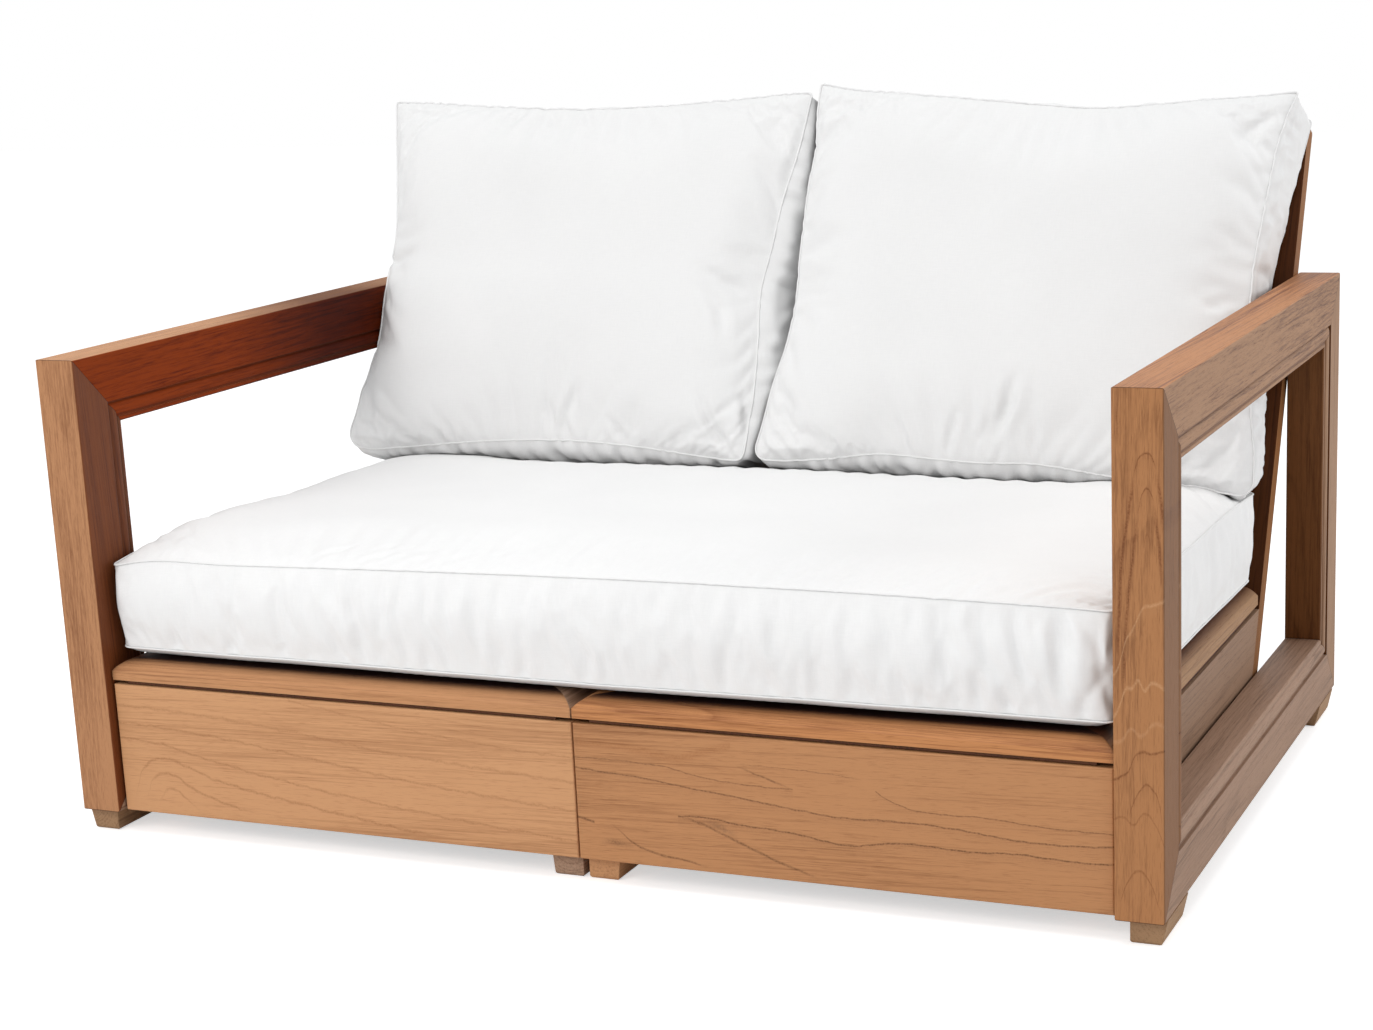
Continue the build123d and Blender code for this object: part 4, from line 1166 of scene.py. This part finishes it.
leftBack = {
    **backAlike,
    "name": "leftBackCushion",
    "node": "left_back_cushion",
    "steps": (130, 84, 20),
    "front": {
        "corners": numberRows("-.694 .312 .176, -.05 .308 .176, -.022 .85 .176, -.703 .85 .176"),
        "left": numberRows(".065 -.01, .17 -.022 .004, .28 -.043 .018, .45 -.044 .02, .53 -.042 .01, "
                           ".62 -.037 .004, .77 -.022, .88 -.012"),
        "right": numberRows(".19 -.003, .32 -.011, .46 -.021, .57 -.017, .7 -.014, .84 -.004"),
        "bottom": numberRows(".06 .006, .15 .002, .26 -.006, .36 -.013, .48 -.018, .61 -.019, .76 -.014, "
                             ".9 -.005"),
        "top": numberRows(".05 -.001, .2 -.008, .5 -.018, .8 -.009, .95 -.001"),
    },
    "rear": {
        "corners": numberRows("-.64 .348 .034, -.046 .336 .034, -.024 .842 .034, -.68 .842 .034"),
        "left": numberRows(".5 -.022"),
        "right": numberRows(".5 -.004"),
        "bottom": numberRows(".5 -.004"),
        "top": numberRows(".5 -.012"),
    },
    "rounded": (0.030, 0.014, 0.006, 0.006),
    "boxingBulge": {"bottom": 0.032, "right": 0.034, "top": 0.008, "left": 0.006},
    "crown": 0.022,
    "gatherSeed": 11,
    "creases": (
        crease("-.478 .84, -.478 .822, -.495 .8", 0.0050, 0.0022),
        crease("-.435 .836, -.424 .815, -.412 .792", 0.0055, 0.0024),
        crease("-.386 .835, -.368 .815, -.35 .796", 0.0050, 0.0020),
        crease("-.662 .59, -.64 .592, -.61 .6", 0.0060, 0.0040),
        crease("-.15 .58, -.1 .56, -.05 .538", 0.0055, 0.0040),
        crease("-.135 .556, -.105 .52, -.095 .47", 0.0080, 0.0022),
        crease("-.36 .385, -.352 .36, -.338 .322", 0.0055, 0.0036),
        crease("-.338 .368, -.33 .345, -.315 .322", 0.0050, 0.0032),
        crease("-.308 .405, -.322 .37, -.336 .326", 0.0060, 0.0034),
        crease("-.258 .36, -.245 .342, -.23 .326", 0.0050, 0.0026),
        crease("-.122 .4, -.098 .355, -.062 .314", 0.0060, 0.0040),
        crease("-.064 .41, -.052 .38, -.048 .345", 0.0060, 0.0030),
        crease("-.545 .345, -.53 .325, -.515 .31", 0.0050, 0.0020),
        crease("-.668 .42, -.65 .38, -.655 .335", 0.0090, 0.0026),
    ),
    "gathers": (
        ((-0.67, 0.850), (-0.05, 0.850), 26, (0, -1), 0.030, 0.1, 0.0036, 0.0011),
        ((-0.66, 0.312), (-0.08, 0.312), 34, (0, 1), 0.032, 0.0, 0.0036, 0.0014),
        ((-0.040, 0.36), (-0.030, 0.82), 18, (-1, 0), 0.028, 0.0, 0.0036, 0.0012),
        ((0.05, 3.0), (0.60, 3.0), 34, (0, 1), 0.060, 1.0, 0.0048, 0.0046),
        ((0.68, 3.0), (1.14, 3.0), 18, (0, 1), 0.060, 0.1, 0.0050, 0.0018),
    ),
}

rightBack = {
    **backAlike,
    "name": "rightBackCushion",
    "node": "right_back_cushion",
    "steps": (136, 84, 20),
    "front": {
        "corners": numberRows("-.036 .312 .176, .662 .286 .176, .668 .838 .176, -.01 .864 .176"),
        "left": numberRows(".07 -.005, .18 -.009, .31 -.021, .42 -.022, .52 -.017, .63 -.012, .735 -.009, "
                           ".82 -.01, .93 -.002"),
        "right": numberRows(".1 -.004, .2 -.014, .36 -.024, .5 -.033, .68 -.029, .77 -.025, .87 -.02, "
                            ".97 -.006"),
        "bottom": numberRows(".06 -.001, .15 -.008, .27 -.021, .37 -.02, .47 -.019, .57 -.023, .72 -.015, "
                             ".88 -.008"),
        "top": numberRows(".09 -.009, .18 -.012, .29 -.017, .4 -.022, .5 -.026, .61 -.028, .71 -.022, "
                          ".81 -.015, .91 -.008"),
    },
    "rear": {
        "corners": numberRows("-.014 .336 .034, .636 .336 .034, .658 .856 .034, -.006 .856 .034"),
        "left": numberRows(".5 -.004"),
        "right": numberRows(".5 -.024"),
        "bottom": numberRows(".5 -.004"),
        "top": numberRows(".5 -.018"),
    },
    "rounded": (0.022, 0.022, 0.006, 0.006),
    "boxingBulge": {"bottom": 0.032, "right": 0.012, "top": 0.008, "left": 0.006},
    "crown": 0.024,
    "gatherSeed": 19,
    "creases": (
        crease(".338 .432, .33 .39, .306 .34", 0.0070, 0.0046),
        crease(".312 .405, .305 .37, .288 .334", 0.0050, 0.0026),
        crease(".262 .385, .254 .355, .244 .322", 0.0050, 0.0034),
        crease(".64 .548, .61 .545, .575 .53", 0.0060, 0.0034),
        crease(".638 .526, .6 .53, .56 .545", 0.0060, 0.0022),
        crease(".056 .85, .066 .825, .084 .795", 0.0050, 0.0022),
        crease(".11 .85, .114 .825, .126 .8", 0.0045, 0.0018),
        crease(".655 .806, .63 .795, .6 .768", 0.0070, 0.0020),
        crease(".174 .375, .184 .35, .194 .318", 0.0050, 0.0022),
        crease(".372 .37, .368 .345, .376 .316", 0.0050, 0.0024),
        crease(".08 .352, .088 .335, .096 .314", 0.0050, 0.0022),
        crease("-.01 .35, .008 .335, .028 .316", 0.0050, 0.0026),
    ),
    "gathers": (
        ((0.02, 0.312), (0.64, 0.292), 40, (0, 1), 0.034, 0.2, 0.0036, 0.0015),
        ((0.03, 0.852), (0.64, 0.834), 24, (0, -1), 0.028, 0.0, 0.0036, 0.0010),
        ((-0.004, 0.36), (-0.006, 0.82), 14, (1, 0), 0.026, 0.0, 0.0036, 0.0010),
        ((0.652, 0.34), (0.648, 0.80), 14, (-1, 0), 0.030, 0.1, 0.0038, 0.0012),
        ((0.04, 3.0), (0.66, 3.0), 34, (0, 1), 0.060, 1.0, 0.0048, 0.0046),
        ((0.72, 3.0), (1.22, 3.0), 16, (0, 1), 0.070, 0.2, 0.0060, 0.0024),
        ((0.73, 3.02), (0.92, 3.02), 7, (0.5, 1), 0.080, 0.9, 0.0080, 0.0052),
        ((0.70, 3.13), (0.95, 3.13), 6, (-0.4, -1), 0.060, -0.6, 0.0070, 0.0044),
    ),
}

# Where a back cushion may be. The parting is where the two press on each other: (up, x).
# The arm rails are between two heights, and beside them there is more room.
backLimits = {
    "parting": numberRows(".3 -.04, .41 -.027, .48 -.011, .54 -.007, .7 -.013, .86 -.014"),
    "partingGap": 0.0006,
    "slatsOut": 0.0310,
    "armReach": 0.6534,
    "armRail": (0.520, 0.614),
    "freeReach": 0.720,
    "seatGap": 0.0008,
    "lookFrom": 0.60,
    "lookBelow": 0.44,
}
seatLimits = {"reach": 0.6532, "deckGap": 0.0004}


# Keeps a back cushion in front of the slats, between the arm rails and on its side of the parting
def keepInPlace(places, side):
    limits = backLimits
    fromHeel = places - np.array(heel)
    up, out = fromHeel @ np.array(backUp), fromHeel @ np.array(backOut)
    places = places + np.array(backOut) * np.maximum(0, limits["slatsOut"] - out)[:, None]
    parting = limits["parting"]
    edge = smoothThrough(parting, np.clip(up, parting[0][0], parting[-1][0]))
    x, z = places[:, 0], places[:, 2]
    if side == "left":
        x = np.minimum(x, edge - limits["partingGap"])
    else:
        x = np.maximum(x, edge + limits["partingGap"])
    railed = (z > limits["armRail"][0]) & (z < limits["armRail"][1])
    reach = np.where(railed, limits["armReach"], limits["freeReach"])
    places[:, 0] = np.clip(x, -reach, reach)
    return places


# Rests the underside on the seat cushion
def restOn(places, surface):
    for i in np.flatnonzero(places[:, 2] < backLimits["lookBelow"]):
        above = Vector((places[i, 0], places[i, 1], backLimits["lookFrom"]))
        hit = surface.ray_cast(above, Vector((0, 0, -1)))[0]
        if hit is not None:
            places[i, 2] = max(places[i, 2], hit.z + backLimits["seatGap"])
    return places


# Wrinkles that run across the boxing: thin valleys where a stretched noise is near zero
foldShape = {
    "downOften": 7,
    "width": 0.26,
    "amountOften": (5, 9),
    "amountSeed": 20,
    "amount": (0.75, 1.3),
    "least": 0.2,
    "seamGap": 0.008,
    "growIn": 40,
    "fadeOut": 34,
}


def foldBoxing(made):
    wrinkles, boxing = made["spec"]["wrinkles"], made["spec"]["boxing"]
    middle, spread = foldShape["amount"]
    alongOften, downOften = foldShape["amountOften"]
    seed = wrinkles["seed"]
    mesh = made["piece"].data
    shift = np.zeros(len(mesh.vertices))
    for i in range(2 * made["gridCount"], len(shift)):
        along, down = made["panelPlaces"][i] - (0, boxingShape["mapPlace"])
        leaning = along - wrinkles["lean"] * down
        wave = noise.noise(Vector((leaning * wrinkles["often"], down * foldShape["downOften"], seed)))
        amount = noise.noise(Vector((leaning * alongOften, down * downOften, seed + foldShape["amountSeed"])))
        within = min(1, max(0, (down - foldShape["seamGap"]) * foldShape["growIn"]))
        within *= min(1, max(0, (boxing - down) * foldShape["fadeOut"]))
        valley = math.exp(-((wave / foldShape["width"]) ** 2))
        shift[i] = valley * min(1, max(foldShape["least"], middle + spread * amount)) * within
    pushOut(mesh, -wrinkles["depth"] * shift)


# A crease: a line on a panel, pressed in by its depth, with a soft rim on either side
creaseShape = {
    "reach": 5,
    "gain": 1.7,
    "rim": 0.42,
    "rimPlace": 2.1,
    "ends": (0.02, 0.98),
    "taper": 0.7,
    "rearAway": 100,  # the rear panel has no creases
}


def pressCreases(made, creases):
    mesh = made["piece"].data
    panel = made["panelPlaces"].copy()
    panel[made["gridCount"]:2 * made["gridCount"]] += creaseShape["rearAway"]
    shift = np.zeros(len(panel))
    for line, width, depth in creases:
        line = np.array(line, float)
        lengths = np.linalg.norm(np.diff(line, axis=0), axis=1)
        whole, gone = lengths.sum(), 0.0
        best = np.full(len(panel), 1e9)
        share = np.zeros(len(panel))
        for start, end, length in zip(line, line[1:], lengths):
            along = (end - start) / length
            f = np.clip((panel - start) @ along, 0, length)
            away = np.linalg.norm(panel - start - along * f[:, None], axis=1)
            nearer = away < best
            best = np.where(nearer, away, best)
            share = np.where(nearer, (gone + f) / whole, share)
            gone += length
        near = best < width * creaseShape["reach"]
        d = best[near] / width
        taper = np.sin(math.pi * np.clip(share[near], *creaseShape["ends"])) ** creaseShape["taper"]
        rim = creaseShape["rim"] * np.exp(-((d - creaseShape["rimPlace"]) ** 2))
        shift[near] += creaseShape["gain"] * depth * taper * (rim - np.exp(-(d ** 2)))
    pushOut(mesh, shift)


# Small gathers that run in from a seam, at seeded places between two ends. No two are alike.
def gathers(dice, start, end, count, inward, length, lean, width, depth):
    start, end, inward = np.array(start, float), np.array(end, float), np.array(inward, float)
    along = (end - start) / np.linalg.norm(end - start)
    seamAllowance = 0.004
    creases = []
    for number in range(count):
        share = (number + dice.uniform(0.15, 0.85)) / count
        root = start + (end - start) * share - inward * seamAllowance
        run = length * dice.uniform(0.5, 1.3)
        sway = along * (lean + dice.uniform(-0.25, 0.25)) * run
        middle = root + inward * run * 0.5 + sway * 0.35
        tip = root + inward * run + sway
        creases.append(((root, middle, tip), width * dice.uniform(0.7, 1.3), depth * dice.uniform(0.35, 1.2)))
    return creases


# Low soft hollows all over, so that no panel is perfectly even
def softHollows(made, size, depth):
    mesh = made["piece"].data
    pushOut(mesh, depth * np.array([noise.noise(Vector(p) / size) for p in placesOf(mesh)]))


# Welt round each seam
def weltOnLoop(name, points, radius, material):
    curve = bpy.data.curves.new(name, "CURVE")
    curve.dimensions = "3D"
    spline = curve.splines.new("POLY")
    spline.points.add(len(points) - 1)
    for item, point in zip(spline.points, points):
        item.co = (*point, 1)
    spline.use_cyclic_u = True
    curve.bevel_depth = radius
    curve.bevel_resolution = 2
    holder = bpy.data.objects.new(name, curve)
    scene.collection.objects.link(holder)
    mesh = bpy.data.meshes.new_from_object(holder)
    bpy.data.objects.remove(holder)
    mesh.name = name
    layer = mesh.uv_layers[0] if mesh.uv_layers else mesh.uv_layers.new(name="panel")
    layer.name = "panel"
    return addPiece(name, mesh, material)


hollowSize = 0.085
seatSurface = None
for spec, side in ((seat, None), (leftBack, "left"), (rightBack, "right")):
    made = boxedCushion(spec)
    piece = made["piece"]
    puffUp(made)
    if not side:
        faces = [tuple(face.vertices) for face in piece.data.polygons]
        seatSurface = BVHTree.FromPolygons([tuple(place) for place in placesOf(piece.data)], faces)
    softHollows(made, hollowSize, spec["hollows"])
    foldBoxing(made)
    dice = random.Random(spec["gatherSeed"])
    creases = list(spec["creases"])
    for row in spec["gathers"]:
        creases += gathers(dice, *row)
    pressCreases(made, creases)
    places = placesOf(piece.data)
    if side:
        places = restOn(keepInPlace(places, side), seatSurface)
    else:
        places[:, 2] = np.maximum(places[:, 2], seatLow.z + seatLimits["deckGap"])
        places[:, 0] = np.clip(places[:, 0], -seatLimits["reach"], seatLimits["reach"])
    setPlaces(piece.data, places)
    smoother = piece.modifiers.new("smoother", "SUBSURF")
    smoother.levels = smoother.render_levels = 1
    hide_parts(spec["node"])
    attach(piece, spec["node"])
    for label, ring in (("FrontWelt", made["rings"][0]), ("RearWelt", made["rings"][-1])):
        welt = weltOnLoop(spec["name"] + label, places[ring], spec["welt"], spec["cover"]["welts"])
        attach(welt, spec["node"])
    print(spec["name"], len(places), "points")

# The stage: a pale floor, a soft sky and large soft lamps. The camera sees the sky as white, and
# the floor lifted by a glow of its own.
studio = {
    "sky": (0.965, 0.98, 1.0, 1),
    "skyStrength": 0.60,
    "lamps": {
        "keyLamp": {"place": (-1.4, -3.8, 2.6), "size": 2.0, "power": 62, "tint": (1.0, 0.99, 0.975)},
        "topLamp": {"place": (0.2, -0.6, 3.6), "size": 2.4, "power": 36, "tint": (1.0, 1.0, 0.99)},
        "sideLamp": {"place": (4.0, 1.5, 1.7), "size": 1.6, "power": 48, "tint": (1.0, 0.995, 0.985)},
    },
    "lampTarget": (0, 0, 0.4),
    "halfFloor": 12.0,
    "floorTone": (0.86, 0.86, 0.86, 1),
    "floorGlow": 0.56,
}
white = (1, 1, 1, 1)


def addLamp(name, spec):
    data = bpy.data.lights.new(name, "AREA")
    data.size = spec["size"]
    data.energy = spec["power"]
    data.color = spec["tint"]
    lamp = bpy.data.objects.new(name, data)
    scene.collection.objects.link(lamp)
    lamp.location = spec["place"]
    toTarget = Vector(studio["lampTarget"]) - Vector(spec["place"])
    lamp.rotation_euler = toTarget.to_track_quat("-Z", "Y").to_euler()


def addSky():
    world = bpy.data.worlds.new("sky")
    scene.world = world
    world.use_nodes = True
    tree = world.node_tree
    tree.nodes.clear()
    path = tree.nodes.new("ShaderNodeLightPath").outputs
    seen = mathNode("MAXIMUM", path["Is Camera Ray"], path["Is Glossy Ray"])
    seen = mathNode("MAXIMUM", seen, path["Is Transmission Ray"])
    soft = addNode(tree, "ShaderNodeBackground", {"Color": studio["sky"], "Strength": studio["skyStrength"]})
    plain = addNode(tree, "ShaderNodeBackground", {"Color": white, "Strength": 1.0})
    both = addNode(tree, "ShaderNodeMixShader", {0: seen, 1: soft.outputs[0], 2: plain.outputs[0]})
    addNode(tree, "ShaderNodeOutputWorld", {0: both.outputs[0]})


def addFloor():
    material, tree, shader = newMaterial("paleFloor")
    tree.nodes.clear()
    plain = addNode(tree, "ShaderNodeBsdfDiffuse", {"Color": studio["floorTone"]})
    lit = addNode(tree, "ShaderNodeEmission", {"Color": white, "Strength": studio["floorGlow"]})
    lifted = addNode(tree, "ShaderNodeAddShader", {0: plain.outputs[0], 1: lit.outputs[0]})
    seen = tree.nodes.new("ShaderNodeLightPath").outputs["Is Camera Ray"]
    mixed = addNode(tree, "ShaderNodeMixShader", {0: seen, 1: plain.outputs[0], 2: lifted.outputs[0]})
    addNode(tree, "ShaderNodeOutputMaterial", {0: mixed.outputs[0]})
    mesh = bpy.data.meshes.new("floor")
    half = studio["halfFloor"]
    corners = [(x * half, y * half, 0) for x, y in ((-1, -1), (1, -1), (1, 1), (-1, 1))]
    mesh.from_pydata(corners, [], [(0, 1, 2, 3)])
    addPiece("floor", mesh, material)


addSky()
for name, spec in studio["lamps"].items():
    addLamp(name, spec)
addFloor()
scene.view_settings.view_transform = "Standard"
print("stage ready")
